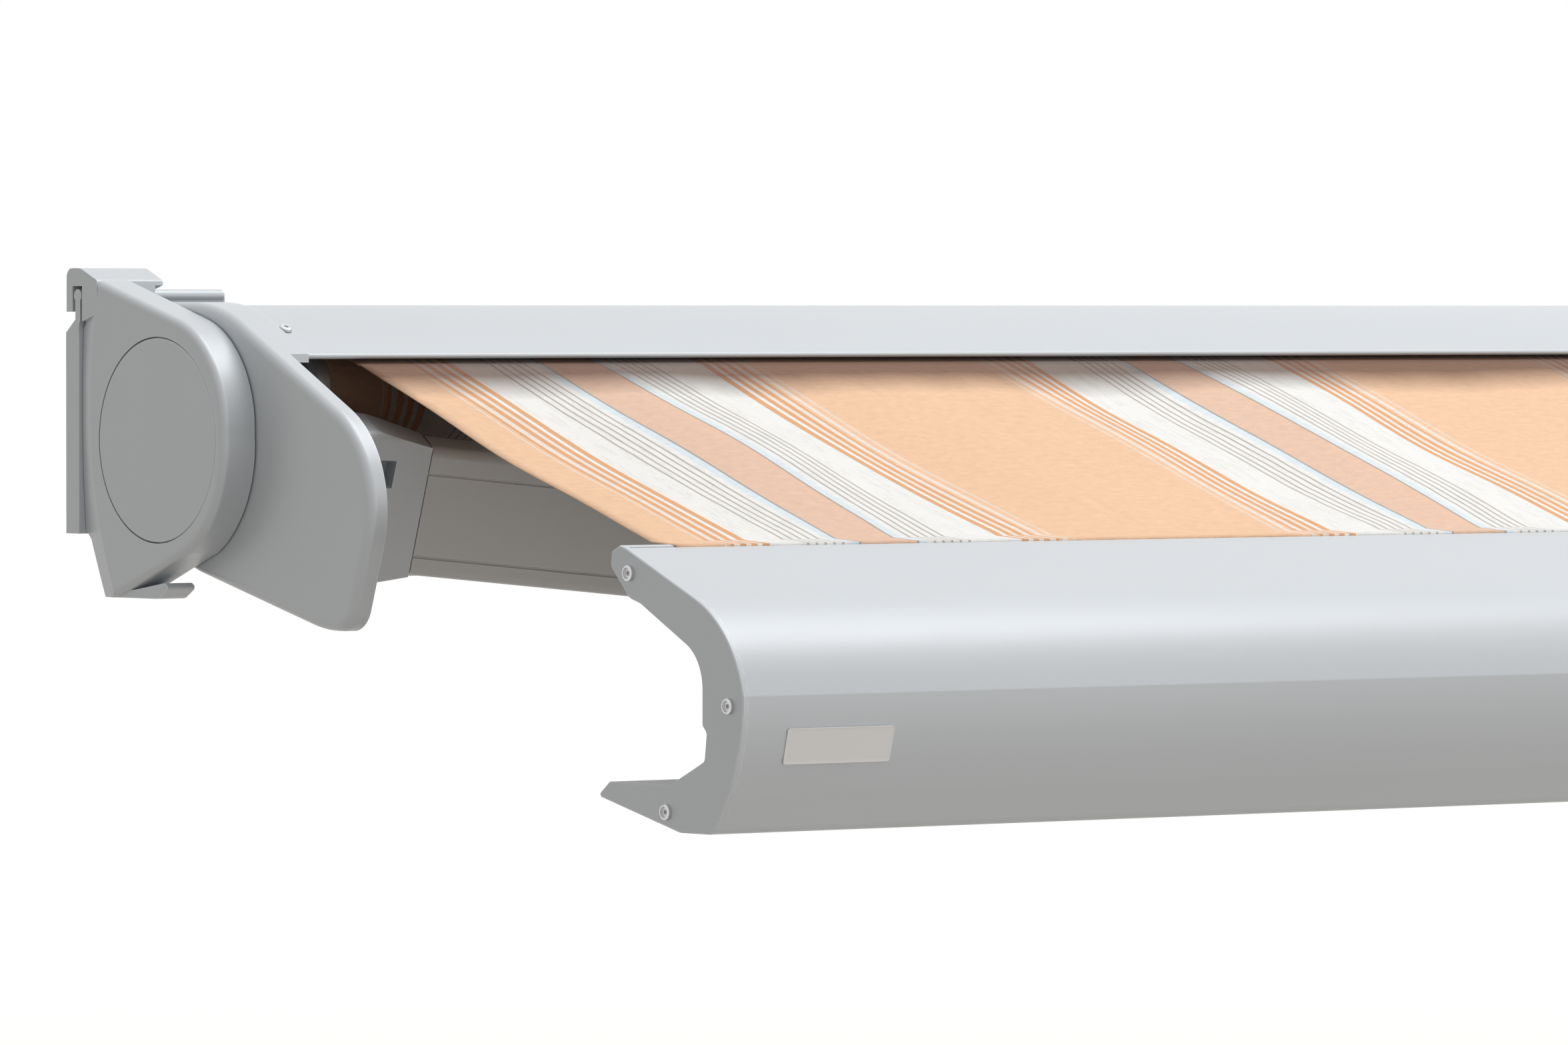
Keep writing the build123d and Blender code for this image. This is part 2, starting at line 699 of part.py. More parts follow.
with BuildPart() as shoulder_bracket:
    with BuildSketch(ARM_PLANE.offset(-EYE_HALF)):
        Circle(EYE_R)
    extrude(amount=2 * EYE_HALF)
    with BuildSketch(SIDE_PLANE.offset(-NECK_WIDE / 2)):
        with BuildLine():
            Polyline(
                (-15, -EYE_HALF),
                (-15, 8),
                (-28, 8),
                (-54, -24),
                (-80, -36),
                (-85, FOOT_N + FOOT_THICK),
                (-85, FOOT_N),
                (-30, FOOT_N),
                (-30, -40),
                (-23, -EYE_HALF),
                close=True,
            )
        make_face()
    extrude(amount=NECK_WIDE)
    with BuildSketch(ARM_PLANE.offset(FOOT_N)):
        with Locations((0, 58)):
            RectangleRounded(42, 56, 6)
    extrude(amount=FOOT_THICK)
    with Locations(ARM_PLANE.offset(FOOT_N + FOOT_THICK)):
        with Locations(*FOOT_BOLTS):
            Hole(FOOT_BOLT_R + RUNNING, depth=10)
    with BuildSketch(ARM_PLANE.offset(-EYE_HALF)):
        Circle(SHOULDER_PIN_R + RUNNING)
    extrude(amount=2 * EYE_HALF, mode=Mode.SUBTRACT)
finish_pair(shoulder_bracket, "shoulder_bracket")

with BuildPart() as foot_bolt:
    with BuildSketch(ARM_PLANE.offset(FOOT_N + FOOT_THICK + 0.1)):
        with Locations(*FOOT_BOLTS):
            RegularPolygon(HEX_R, 6)
    extrude(amount=HEX_HIGH)
    with BuildSketch(ARM_PLANE.offset(FOOT_N + FOOT_THICK + 1)):
        with Locations(*FOOT_BOLTS):
            Circle(FOOT_BOLT_R)
    extrude(amount=-FOOT_THICK - HEX_HIGH)
finish_both(foot_bolt, "shoulder_bolts")


def pin(plane, radius, half):
    """A pivot pin with chamfered ends, centred on its plane."""
    with BuildPart() as body:
        with BuildSketch(plane.offset(-half)):
            Circle(radius)
        extrude(amount=2 * half)
        chamfer(body.edges().filter_by(GeomType.CIRCLE), 0.8)
    return body


finish_both(pin(ARM_PLANE, SHOULDER_PIN_R, FORK_HIGH / 2 - 0.5), "shoulder_pins")


# Roller: tube, end plugs and the fabric wound on it

PLUG_X = 66.0
TUBE_X = 70.0
TUBE_WALL = 2.2

with BuildPart() as roller_tube:
    with BuildSketch(section(TUBE_X + 0.1)):
        with Locations((ROLLER_Y, ROLLER_Z)):
            Circle(TUBE_R)
            Circle(TUBE_R - TUBE_WALL, mode=Mode.SUBTRACT)
    extrude(amount=WIDTH - 2 * TUBE_X - 0.2)
finish(roller_tube, "roller_tube")

with BuildPart() as roller_plug:
    with BuildSketch(section(PLUG_X)):
        with Locations((ROLLER_Y, ROLLER_Z)):
            Circle(TUBE_R)
    extrude(amount=TUBE_X - PLUG_X)
    chamfer(roller_plug.edges().sort_by(Axis.X)[0], 0.8)
    with BuildSketch(section(TUBE_X)):
        with Locations((ROLLER_Y, ROLLER_Z)):
            Circle(TUBE_R - TUBE_WALL - RUNNING)
            with PolarLocations(TUBE_R - TUBE_WALL, 6):
                Circle(4, mode=Mode.SUBTRACT)
    extrude(amount=26)
    with BuildSketch(section(WEB_X + 3)):
        with Locations((ROLLER_Y, ROLLER_Z)):
            Circle(SPIGOT_R)
    extrude(amount=PLUG_X - WEB_X - 2)
finish_pair(roller_plug, "roller_plug")

with BuildPart() as fabric_roll:
    with BuildSketch(section(FABRIC_EDGE_X)):
        with Locations((ROLLER_Y, ROLLER_Z)):
            Circle(ROLL_R)
            Circle(TUBE_R + 0.1, mode=Mode.SUBTRACT)
    extrude(amount=WIDTH - 2 * FABRIC_EDGE_X)
finish(fabric_roll, "fabric_roll")


# Upper arms: shoulder fork, flat profile with two grooves, elbow fork and the spring inside

FORK_R = 20.0
FORK_LONG = 46.0
FORK_SHOULDER = 14.0
WINDOW_AT = (21.0, 20.0)
WINDOW = (12.0, 15.0)
TENON = 32.0
TENON_PLAY = 0.15
UPPER_END = 412.0
ELBOW_R = 17.0
ELBOW_SLOT = 25.5


def across_arm(plane, along):
    """Cross-section plane of an arm this far along it, with the wall side and up as its axes."""
    return Plane(origin=plane.from_local_coords((along, 0, 0)), x_dir=plane.y_dir, z_dir=plane.x_dir)


def side_of_arm(plane):
    """Plane that shows an arm from its side, along it and up."""
    return Plane(origin=plane.origin, x_dir=plane.x_dir, z_dir=-plane.y_dir)


def arm_profile(plane, start, end, wide, high, grooves):
    """Hollow extruded arm with rounded corners and shallow grooves on both faces."""
    with BuildPart() as body:
        with BuildSketch(across_arm(plane, start)):
            RectangleRounded(wide, high, 5)
            RectangleRounded(wide - 2 * ARM_WALL, high - 2 * ARM_WALL, 3, mode=Mode.SUBTRACT)
            for height in grooves:
                with Locations((wide / 2, height), (-wide / 2, height)):
                    Circle(0.9, mode=Mode.SUBTRACT)
        extrude(amount=end - start)
    return body


def tenon(plane, start, end, wide, high):
    """Block of a casting that fills the arm's profile."""
    with BuildPart() as block:
        with BuildSketch(across_arm(plane, start)):
            RectangleRounded(
                wide - 2 * (ARM_WALL + TENON_PLAY),
                high - 2 * (ARM_WALL + TENON_PLAY),
                2.5,
            )
        extrude(amount=end - start)
    return block.part


upper_grooves = (0.3 * UPPER_HIGH, -0.34 * UPPER_HIGH)
finish_pair(
    arm_profile(UPPER_PLANE, FORK_LONG + 0.2, UPPER_END - 0.2, UPPER_WIDE, UPPER_HIGH, upper_grooves),
    "upper_arm",
)

fork_tenon = tenon(UPPER_PLANE, FORK_LONG - 0.5, FORK_LONG + TENON, UPPER_WIDE, UPPER_HIGH)

with BuildPart() as shoulder_fork:
    with BuildSketch(UPPER_PLANE.offset(-FORK_HIGH / 2)):
        Circle(FORK_R)
        with Locations((FORK_LONG - 1, 0)):
            Rectangle(2, UPPER_WIDE)
        make_hull()
    extrude(amount=FORK_HIGH)
    with BuildSketch(side_of_arm(UPPER_PLANE).offset(-FORK_R)):
        Polygon(
            (-FORK_R, -FORK_HIGH / 2),
            (FORK_SHOULDER, -FORK_HIGH / 2),
            (FORK_LONG, -UPPER_HIGH / 2),
            (FORK_LONG, UPPER_HIGH / 2),
            (FORK_SHOULDER, FORK_HIGH / 2),
            (-FORK_R, FORK_HIGH / 2),
            align=None,
        )
    extrude(amount=2 * FORK_R, mode=Mode.INTERSECT)
    ends = shoulder_fork.faces().filter_by(Plane(origin=(0, 0, 0), z_dir=NORMAL))
    fillet(ends.edges().filter_by(GeomType.CIRCLE), 4.0)
    # gap for the eye, with room for the neck behind it
    with BuildSketch(UPPER_PLANE.offset(-EYE_HALF - SEAT)):
        Circle(EYE_R + 3)
        with Locations((-15, 0)):
            Rectangle(30, 60)
    extrude(amount=2 * (EYE_HALF + SEAT), mode=Mode.SUBTRACT)
    # window in the front wall, beside the eye
    with BuildSketch(side_of_arm(UPPER_PLANE)):
        with Locations(WINDOW_AT):
            Rectangle(*WINDOW)
    extrude(amount=FORK_R + 5, mode=Mode.SUBTRACT)
    add(fork_tenon)
    with BuildSketch(UPPER_PLANE.offset(-FORK_HIGH / 2)):
        Circle(SHOULDER_PIN_R + RUNNING)
    extrude(amount=FORK_HIGH, mode=Mode.SUBTRACT)
finish_pair(shoulder_fork, "shoulder_fork")

fork_tenon = tenon(UPPER_PLANE, UPPER_END - TENON, UPPER_END + 0.5, UPPER_WIDE, UPPER_HIGH)

with BuildPart() as elbow_fork:
    with BuildSketch(UPPER_PLANE.offset(-UPPER_HIGH / 2)):
        with Locations((ELBOW_IN_UPPER.X, ELBOW_IN_UPPER.Y)):
            Circle(ELBOW_R)
        with Locations((UPPER_END + 1, 0)):
            Rectangle(2, UPPER_WIDE)
        make_hull()
    extrude(amount=UPPER_HIGH)
    ends = elbow_fork.faces().filter_by(Plane(origin=(0, 0, 0), z_dir=NORMAL))
    fillet(ends.edges().filter_by(GeomType.CIRCLE), 3.0)
    # gap for the forearm's eye and for the forearm folded beside this arm
    with BuildSketch(UPPER_PLANE.offset(-ELBOW_SLOT)):
        with Locations((ELBOW_IN_UPPER.X, ELBOW_IN_UPPER.Y)):
            Circle(ELBOW_R + 1.5)
        with Locations((UPPER_END, ELBOW_IN_UPPER.Y)):
            Rectangle(6, 1)
        make_hull()
        with Locations((ELBOW_IN_UPPER.X, ELBOW_IN_UPPER.Y - 21.6)):
            Rectangle(120, 40)
    extrude(amount=2 * ELBOW_SLOT, mode=Mode.SUBTRACT)
    add(fork_tenon)
    with BuildSketch(UPPER_PLANE.offset(-UPPER_HIGH / 2)):
        with Locations((ELBOW_IN_UPPER.X, ELBOW_IN_UPPER.Y)):
            Circle(ELBOW_PIN_R + RUNNING)
    extrude(amount=UPPER_HIGH, mode=Mode.SUBTRACT)
finish_pair(elbow_fork, "elbow_fork")

SPRING_R = 9.0
SPRING_LONG = 200.0

with BuildPart() as arm_spring:
    with BuildSketch(across_arm(UPPER_PLANE, FORK_LONG + TENON + 2)):
        Circle(SPRING_R)
    extrude(amount=SPRING_LONG)
    with BuildSketch(across_arm(UPPER_PLANE, FORK_LONG + TENON + 2 + SPRING_LONG)):
        Circle(SPRING_R / 2)
    extrude(amount=UPPER_END - FORK_LONG - 2 * TENON - 4 - SPRING_LONG)
finish_pair(arm_spring, "arm_spring")


# Forearms: elbow eye, profile, wrist eye and the elbow pin

FORE_START = 38.0
FORE_END = 384.0
WRIST_R = 11.0
WRIST_HALF = 14.0
WRIST_NECK = (17.0, 27.0)

fore_grooves = (0.3 * FORE_HIGH, -0.3 * FORE_HIGH)
finish_pair(
    arm_profile(FORE_PLANE, FORE_START + 0.2, FORE_END - 0.2, FORE_WIDE, FORE_HIGH, fore_grooves),
    "forearm",
)

eye_tenon = tenon(FORE_PLANE, FORE_END - TENON, FORE_END + 0.5, FORE_WIDE, FORE_HIGH)

with BuildPart() as elbow_eye:
    with BuildSketch(FORE_PLANE.offset(-FORE_HIGH / 2)):
        with Locations((ELBOW_IN_FORE.X, ELBOW_IN_FORE.Y)):
            Circle(ELBOW_R - 1)
        with Locations((FORE_END + 1, 0)):
            Rectangle(2, FORE_WIDE)
        make_hull()
    extrude(amount=FORE_HIGH)
    add(eye_tenon)
    with BuildSketch(FORE_PLANE.offset(-FORE_HIGH / 2)):
        with Locations((ELBOW_IN_FORE.X, ELBOW_IN_FORE.Y)):
            Circle(ELBOW_PIN_R + RUNNING)
    extrude(amount=FORE_HIGH, mode=Mode.SUBTRACT)
finish_pair(elbow_eye, "elbow_eye")


def wrist_eye(play):
    """Eye at the front end of a left forearm, with this radial play round its pin."""
    eye_tenon = tenon(FORE_PLANE, FORE_START - 0.5, FORE_START + 26, FORE_WIDE, FORE_HIGH)
    with BuildPart() as body:
        with BuildSketch(FORE_PLANE.offset(-FORE_HIGH / 2)):
            Circle(WRIST_R)
            with Locations((FORE_START - 1, 0)):
                Rectangle(2, FORE_WIDE)
            make_hull()
        extrude(amount=FORE_HIGH)
        with BuildSketch(side_of_arm(FORE_PLANE).offset(-FORK_R)):
            Polygon(
                (-WRIST_R, -WRIST_HALF),
                (WRIST_NECK[0], -WRIST_HALF),
                (WRIST_NECK[1], -FORE_HIGH / 2),
                (FORE_START, -FORE_HIGH / 2),
                (FORE_START, FORE_HIGH / 2),
                (WRIST_NECK[1], FORE_HIGH / 2),
                (WRIST_NECK[0], WRIST_HALF),
                (-WRIST_R, WRIST_HALF),
                align=None,
            )
        extrude(amount=2 * FORK_R, mode=Mode.INTERSECT)
        add(eye_tenon)
        with BuildSketch(FORE_PLANE.offset(-WRIST_HALF)):
            Circle(WRIST_PIN_R + play)
        extrude(amount=2 * WRIST_HALF, mode=Mode.SUBTRACT)
    return body


finish(wrist_eye(RUNNING), "wrist_eye_left")
loose_eye = wrist_eye(OPEN_PIVOT_PLAY)
with BuildPart() as right_wrist_eye:
    mirror(loose_eye.part, about=Plane.YZ)
finish(right_wrist_eye, "wrist_eye_right")

ELBOW_PLANE = Plane(origin=ELBOW, x_dir=ACROSS, z_dir=NORMAL)
finish_pair(pin(ELBOW_PLANE, ELBOW_PIN_R, UPPER_HIGH / 2 - 0.3), "elbow_pin")


# Front bar: hollow extrusion with a rounded front, open towards the arms

PORTS_OF_BAR = ((-156.9, 27.8), (-238.4, -36.2), (-187.7, -90.2))
WELT_Y = -153.0
WELT_Z = 34.6
WELT_R = 2.8
INNER_Y = -216.3
WELT_SLOT = 1.6


def bar_outline():
    """Side view of the front bar in its closed place, with a crease along its nose.

    The corners run from the top edge over the front to the foot, then back up the hollow.
    """
    with BuildLine() as outline:
        around = FilletPolyline(
            (-148.6, 41.6),
            (-153.5, 40.4),
            (-242.3, 2.9),
            (-249.8, -31),
            (-250.3, -57.5),
            (-225.7, -100.1),
            (-198, -100.1),
            (-130.2, -84),
            (-140, -76.6),
            (-190, -76.5),
            (-206, -69.5),
            (-218, -64),
            (-219.8, -50),
            (INNER_Y, -46.5),
            (INNER_Y, -13.4),
            (-165, 13),
            (-156, 15.5),
            (-141, 31),
            (-142, 38.5),
            radius=[12, 66, 1, 94, 7, 12, 1.5, 4, 12, 8, 3, 3, 2, 25, 10, 8, 4],
        )
        Line(around @ 1, around @ 0)
    return outline


with BuildPart() as front_bar:
    with BuildSketch(bar_section(BAR_END_X + CAP_THICK + 0.1)):
        with BuildLine():
            add(bar_outline().line)
        make_face()
        with BuildSketch(mode=Mode.SUBTRACT):
            with BuildLine():
                add(bar_outline().line)
            make_face()
            offset(amount=-BAR_WALL)
            # webs between the front wall and the hollow for the arms
            with Locations((-184, 18), (-187.7, -88)):
                Rectangle(BAR_WALL, 40, mode=Mode.SUBTRACT)
            with Locations((-230, -36.2), (-230, -72)):
                Rectangle(60, BAR_WALL, mode=Mode.SUBTRACT)
            # walls of the screw ports and of the groove for the fabric's welt
            with Locations(PORTS_OF_BAR):
                Circle(PORT_R - 0.4, mode=Mode.SUBTRACT)
            with Locations((WELT_Y, WELT_Z)):
                Circle(WELT_R + 2, mode=Mode.SUBTRACT)
        with Locations(PORTS_OF_BAR):
            Circle(SCREW_R + RUNNING, mode=Mode.SUBTRACT)
        with Locations((WELT_Y, WELT_Z)):
            Circle(WELT_R, mode=Mode.SUBTRACT)
        with Locations((WELT_Y, WELT_Z + 4)):
            Rectangle(WELT_SLOT, 8, mode=Mode.SUBTRACT)
    extrude(amount=WIDTH - 2 * (BAR_END_X + CAP_THICK + 0.1))
    for side in (1, -1):
        wall_plane = Plane(
            origin=(side * WRIST.X, FORWARD.Y * BAR_OUT + INNER_Y + 1, WRIST.Z + BOLT_ROW_Z),
            x_dir=ACROSS,
            z_dir=(0, 1, 0),
        )
        with Locations(wall_plane):
            with GridLocations(2 * FRONT_BOLT_X, 1, 2, 1):
                Hole(FOOT_BOLT_R + RUNNING, depth=6)
finish(front_bar, "front_bar")

with BuildPart() as front_cap:
    with BuildSketch(bar_section(BAR_END_X)):
        with BuildLine():
            add(bar_outline().line)
        make_face()
        with Locations(PORTS_OF_BAR):
            Circle(SCREW_R + RUNNING, mode=Mode.SUBTRACT)
    extrude(amount=CAP_THICK)
    rim = front_cap.faces().sort_by(Axis.X)[0].outer_wire().edges()
    chamfer(rim, 0.5)
finish_pair(front_cap, "front_cap")

# Screws of the end caps

CAP_HEAD_R = 4.0
CAP_HEAD = 2.0
DISH_R = 2.9
CAP_SOCKET_R = 1.4
CAP_SHANK = 16.0

with BuildPart() as cap_screw:
    with BuildSketch(bar_section(BAR_END_X - CAP_HEAD - 0.1)):
        with Locations(PORTS_OF_BAR):
            Circle(CAP_HEAD_R)
    extrude(amount=CAP_HEAD)
    chamfer(cap_screw.faces().group_by(Axis.X)[0].edges(), 0.4)
    with BuildSketch(bar_section(BAR_END_X - 0.5)):
        with Locations(PORTS_OF_BAR):
            Circle(SCREW_R)
    extrude(amount=CAP_SHANK)
    # dished centre and the socket in it
    with BuildSketch(bar_section(BAR_END_X - CAP_HEAD - 0.1)):
        with Locations(PORTS_OF_BAR):
            Circle(DISH_R)
    extrude(amount=CAP_HEAD - 0.8, mode=Mode.SUBTRACT)
    with BuildSketch(bar_section(BAR_END_X - CAP_HEAD)):
        with Locations(PORTS_OF_BAR):
            RegularPolygon(CAP_SOCKET_R, 6)
    extrude(amount=CAP_HEAD + 0.4, mode=Mode.SUBTRACT)
finish_both(cap_screw, "cap_screws")

with BuildPart() as welt_rod:
    with BuildSketch(bar_section(FABRIC_EDGE_X)):
        with Locations((WELT_Y, WELT_Z)):
            Circle(WELT_R - 0.4)
    extrude(amount=WIDTH - 2 * FABRIC_EDGE_X)
finish(welt_rod, "welt_rod")


# Front brackets: bolted inside the bar, each with a slot for a forearm's eye

SLOT_HALF = WRIST_HALF + 0.4
EAR_HALF = 21.0
BRACKET_R = 12.0
BRACKET_WIDE = 48.0
FLANGE_WIDE = 56.0
FLANGE_THICK = 4.0
FLANGE_TOP = 10.5
FLANGE_BOTTOM = -20.0

with BuildPart() as front_bracket:
    wall_y = FORWARD.Y * BAR_OUT + INNER_Y + 0.1
    with BuildSketch(section(WRIST_X_IN - BRACKET_WIDE / 2)):
        Polygon(
            (-446.9, -105.8),
            (-488, -119.3),
            (wall_y, -119.3),
            (wall_y, WRIST.Z + FLANGE_BOTTOM),
            (wall_y + 5.5, WRIST.Z + FLANGE_BOTTOM),
            (-472.7, -158.2),
            (-433.9, -145.7),
            align=None,
        )
    extrude(amount=BRACKET_WIDE)
    with BuildSketch(WRIST_PLANE.offset(-60)):
        Circle(BRACKET_R)
        with Locations((0, -50)):
            Rectangle(34, 30)
        make_hull()
    extrude(amount=120, mode=Mode.INTERSECT)
    with BuildSketch(WRIST_PLANE.offset(-SLOT_HALF)):
        with Locations((0, 18)):
            Rectangle(80, 62)
    extrude(amount=2 * SLOT_HALF, mode=Mode.SUBTRACT)
    with BuildSketch(WRIST_PLANE.offset(-EAR_HALF - 5)):
        Circle(WRIST_PIN_R + RUNNING)
    extrude(amount=2 * EAR_HALF + 10, mode=Mode.SUBTRACT)
    with BuildSketch(section(WRIST_X_IN - FLANGE_WIDE / 2)):
        Polygon(
            (wall_y, WRIST.Z + FLANGE_TOP),
            (wall_y + FLANGE_THICK, WRIST.Z + FLANGE_TOP),
            (wall_y + FLANGE_THICK, WRIST.Z + FLANGE_BOTTOM),
            (wall_y, WRIST.Z + FLANGE_BOTTOM),
            align=None,
        )
    extrude(amount=FLANGE_WIDE)
    bolt_plane = Plane(
        origin=(WRIST.X, wall_y + FLANGE_THICK, WRIST.Z + BOLT_ROW_Z),
        x_dir=ACROSS,
        z_dir=(0, 1, 0),
    )
    with Locations(bolt_plane):
        with GridLocations(2 * FRONT_BOLT_X, 1, 2, 1):
            Hole(FOOT_BOLT_R + RUNNING, depth=6)
finish_pair(front_bracket, "front_bracket")

with BuildPart() as front_bolt:
    with BuildSketch(bolt_plane.offset(0.1)):
        with GridLocations(2 * FRONT_BOLT_X, 1, 2, 1):
            RegularPolygon(HEX_R, 6)
    extrude(amount=HEX_HIGH)
    with BuildSketch(bolt_plane.offset(1.1)):
        with GridLocations(2 * FRONT_BOLT_X, 1, 2, 1):
            Circle(FOOT_BOLT_R)
    extrude(amount=-9.0)
finish_both(front_bolt, "front_bracket_bolts")

finish_both(pin(WRIST_PLANE, WRIST_PIN_R, EAR_HALF), "front_pins")


# Canopy: the stretched fabric from the top of the roll over the bar's edge into its groove

with BuildPart() as canopy:
    out_y = FORWARD.Y * BAR_OUT
    out_z = FORWARD.Z * BAR_OUT
    with BuildSketch(section(FABRIC_EDGE_X)):
        with BuildLine():
            Polyline(
                (-117.5, 53.6),
                (-149 + out_y, 42.5 + out_z),
                (WELT_Y + out_y, 41.5 + out_z),
                (WELT_Y + out_y, WELT_Z + 4 + out_z),
            )
        trace(line_width=0.7)
    extrude(amount=WIDTH - 2 * FABRIC_EDGE_X)
finish(canopy, "canopy")
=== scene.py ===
import json
from math import atan, cos, pi, radians, sin

import bmesh
import bpy
from bpy.props import FloatProperty, FloatVectorProperty, IntProperty, PointerProperty
from mathutils import Matrix, Vector


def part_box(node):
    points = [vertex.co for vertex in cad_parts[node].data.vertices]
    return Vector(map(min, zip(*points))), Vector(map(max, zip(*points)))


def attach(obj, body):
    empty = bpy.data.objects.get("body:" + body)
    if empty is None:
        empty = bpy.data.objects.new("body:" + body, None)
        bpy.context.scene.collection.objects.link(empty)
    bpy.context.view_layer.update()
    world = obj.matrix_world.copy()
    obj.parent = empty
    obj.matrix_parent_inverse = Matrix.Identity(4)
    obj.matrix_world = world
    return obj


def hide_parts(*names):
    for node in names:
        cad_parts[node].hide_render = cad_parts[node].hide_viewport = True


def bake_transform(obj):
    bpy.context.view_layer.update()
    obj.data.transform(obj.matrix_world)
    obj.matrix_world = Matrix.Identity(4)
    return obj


bl_info = {
    "name": "Folding-arm awning",
    "version": (1, 0, 0),
    "blender": (4, 5, 0),
    "location": "View3D > Sidebar > Awning",
    "description": "Cloth, finishes, rating plate and stage of a folding-arm cassette awning",
    "category": "Add Mesh",
}

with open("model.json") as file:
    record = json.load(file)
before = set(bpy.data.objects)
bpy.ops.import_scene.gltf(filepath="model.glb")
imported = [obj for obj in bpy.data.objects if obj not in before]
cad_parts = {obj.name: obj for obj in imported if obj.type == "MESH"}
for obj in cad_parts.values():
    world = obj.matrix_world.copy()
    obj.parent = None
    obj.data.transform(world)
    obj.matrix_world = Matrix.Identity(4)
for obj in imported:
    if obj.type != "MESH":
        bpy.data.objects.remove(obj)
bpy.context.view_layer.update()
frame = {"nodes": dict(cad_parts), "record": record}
MM = 0.001

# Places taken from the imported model
CANOPY_LOW, CANOPY_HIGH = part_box("canopy")
ROLL_LOW, ROLL_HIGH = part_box("fabric_roll")
BAR_LOW, BAR_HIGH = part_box("front_bar")
ROLLER_CENTRE = (ROLL_LOW + ROLL_HIGH) / 2
ROLL_RADIUS = (ROLL_HIGH.z - ROLL_LOW.z) / 2
TUBE_RADIUS = (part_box("roller_tube")[1].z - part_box("roller_tube")[0].z) / 2
CLOTH_WIDTH = CANOPY_HIGH.x - CANOPY_LOW.x

# The stripes repeat along the awning, from the middle of one tan stripe to the next
STRIPE_REPEAT = 400 * MM
HALF_REPEAT = STRIPE_REPEAT / 2
FIRST_TAN = CANOPY_LOW.x + 136 * MM

# The white ground and the fine lines in it, in mm from the middle of a tan stripe
WHITE_GROUND = (27.5, 87.0)
FINE_LINES = (29.0, 53.5)
FINE_STEP = 5.6
FINE_SHARE = 0.3

# The left edge is cut through a wide stripe: it is plain up to the first place, and left of the
# second place all bands lie this many mm nearer to the tan stripe
EDGE_BAND = CANOPY_LOW.x + 31 * MM
EDGE_LINES = FIRST_TAN - 60 * MM
EDGE_SHIFT = 10.0

# Pitch of the weave, across and along the cloth
WEAVE = (0.9 * MM, 0.8 * MM)

# Cloth that stays in the cassette, hidden behind its lip; the moving length slides over it
LEADER = 36 * MM
LEADER_ROWS = 8
DROP_ROWS = 40
CLOTH_COLUMNS = 168

# The spiral of the roll starts where the stretched cloth leaves it; its middle line keeps these
# gaps from the tube and from the roll's outside
STEPS_PER_TURN = 64
LEAVES_ROLL = radians(108)
ROLL_GAPS = (0.5 * MM, 0.4 * MM)

# Painted shade on the cloth under the cassette's lip: how far down the drop the lip is, and how far the
# painted shade reaches
LIP_DOWN = 52 * MM
SHADE_REACH = 34 * MM

# An edge in a finish is where the rounded normal turns by more than 3 degrees
TURN_COSINE = 0.9985
TURN_GAIN = 60

# Width of the painted shadow in the gap between each upper arm's profile and its shoulder fork
JOINT_SHADOW_WIDTH = 1.3 * MM

# The rating plate: width, thickness, height, and its middle on the bar
PLATE = Vector((67, 0.5, 18.5)) * MM
PLATE_X = BAR_LOW.x + 58.8 * MM
PLATE_Z = -147.5 * MM

# The photograph's eye point, in the part's own frame
EYE = Vector((-3.8582, -4.6258, 0.068))
VIEW_TURN = radians(37.8)
VIEW_DROP = radians(1.157)
LENS = 241.8

# The large lamp above the awning, the weak one in front of it, where both point, and their size
LAMP = Vector((0.5, -1.0, 3.0))
FILL = Vector((0.9, -4.0, 0.5))
LAMP_AIM = Vector((-0.1, -0.25, 0.0))
LAMP_SIZE = 2.6

# Light that the floor adds for the camera, beneath the awning and far from it
FLOOR_LIFT = (0.62, 0.86)

# The floor's radius, where that light starts to change, and how far the change takes, in metres
FLOOR_RADIUS = 40.0
FLOOR_NEAR = 2.0
FLOOR_FADE = 6.0


class Value:
    """A shader value; arithmetic on it adds Math nodes to its finish."""

    def __init__(self, finish, socket):
        self.finish = finish
        self.socket = socket

    def math(self, operation, *others, clamp=False):
        return self.finish.node(
            "ShaderNodeMath",
            {"operation": operation, "use_clamp": clamp},
            dict(enumerate((self, *others))),
        )

    def __add__(self, other):
        return self.math("ADD", other)

    def __sub__(self, other):
        return self.math("SUBTRACT", other)

    def __mul__(self, other):
        return self.math("MULTIPLY", other)

    def __truediv__(self, other):
        return self.math("DIVIDE", other)

    def __rsub__(self, other):
        return (self * -1) + other

    __radd__ = __add__
    __rmul__ = __mul__

    def below(self, limit):
        return self.math("LESS_THAN", limit)

    def above(self, limit):
        return self.math("GREATER_THAN", limit)

    def clamped(self):
        return self.math("ADD", 0.0, clamp=True)


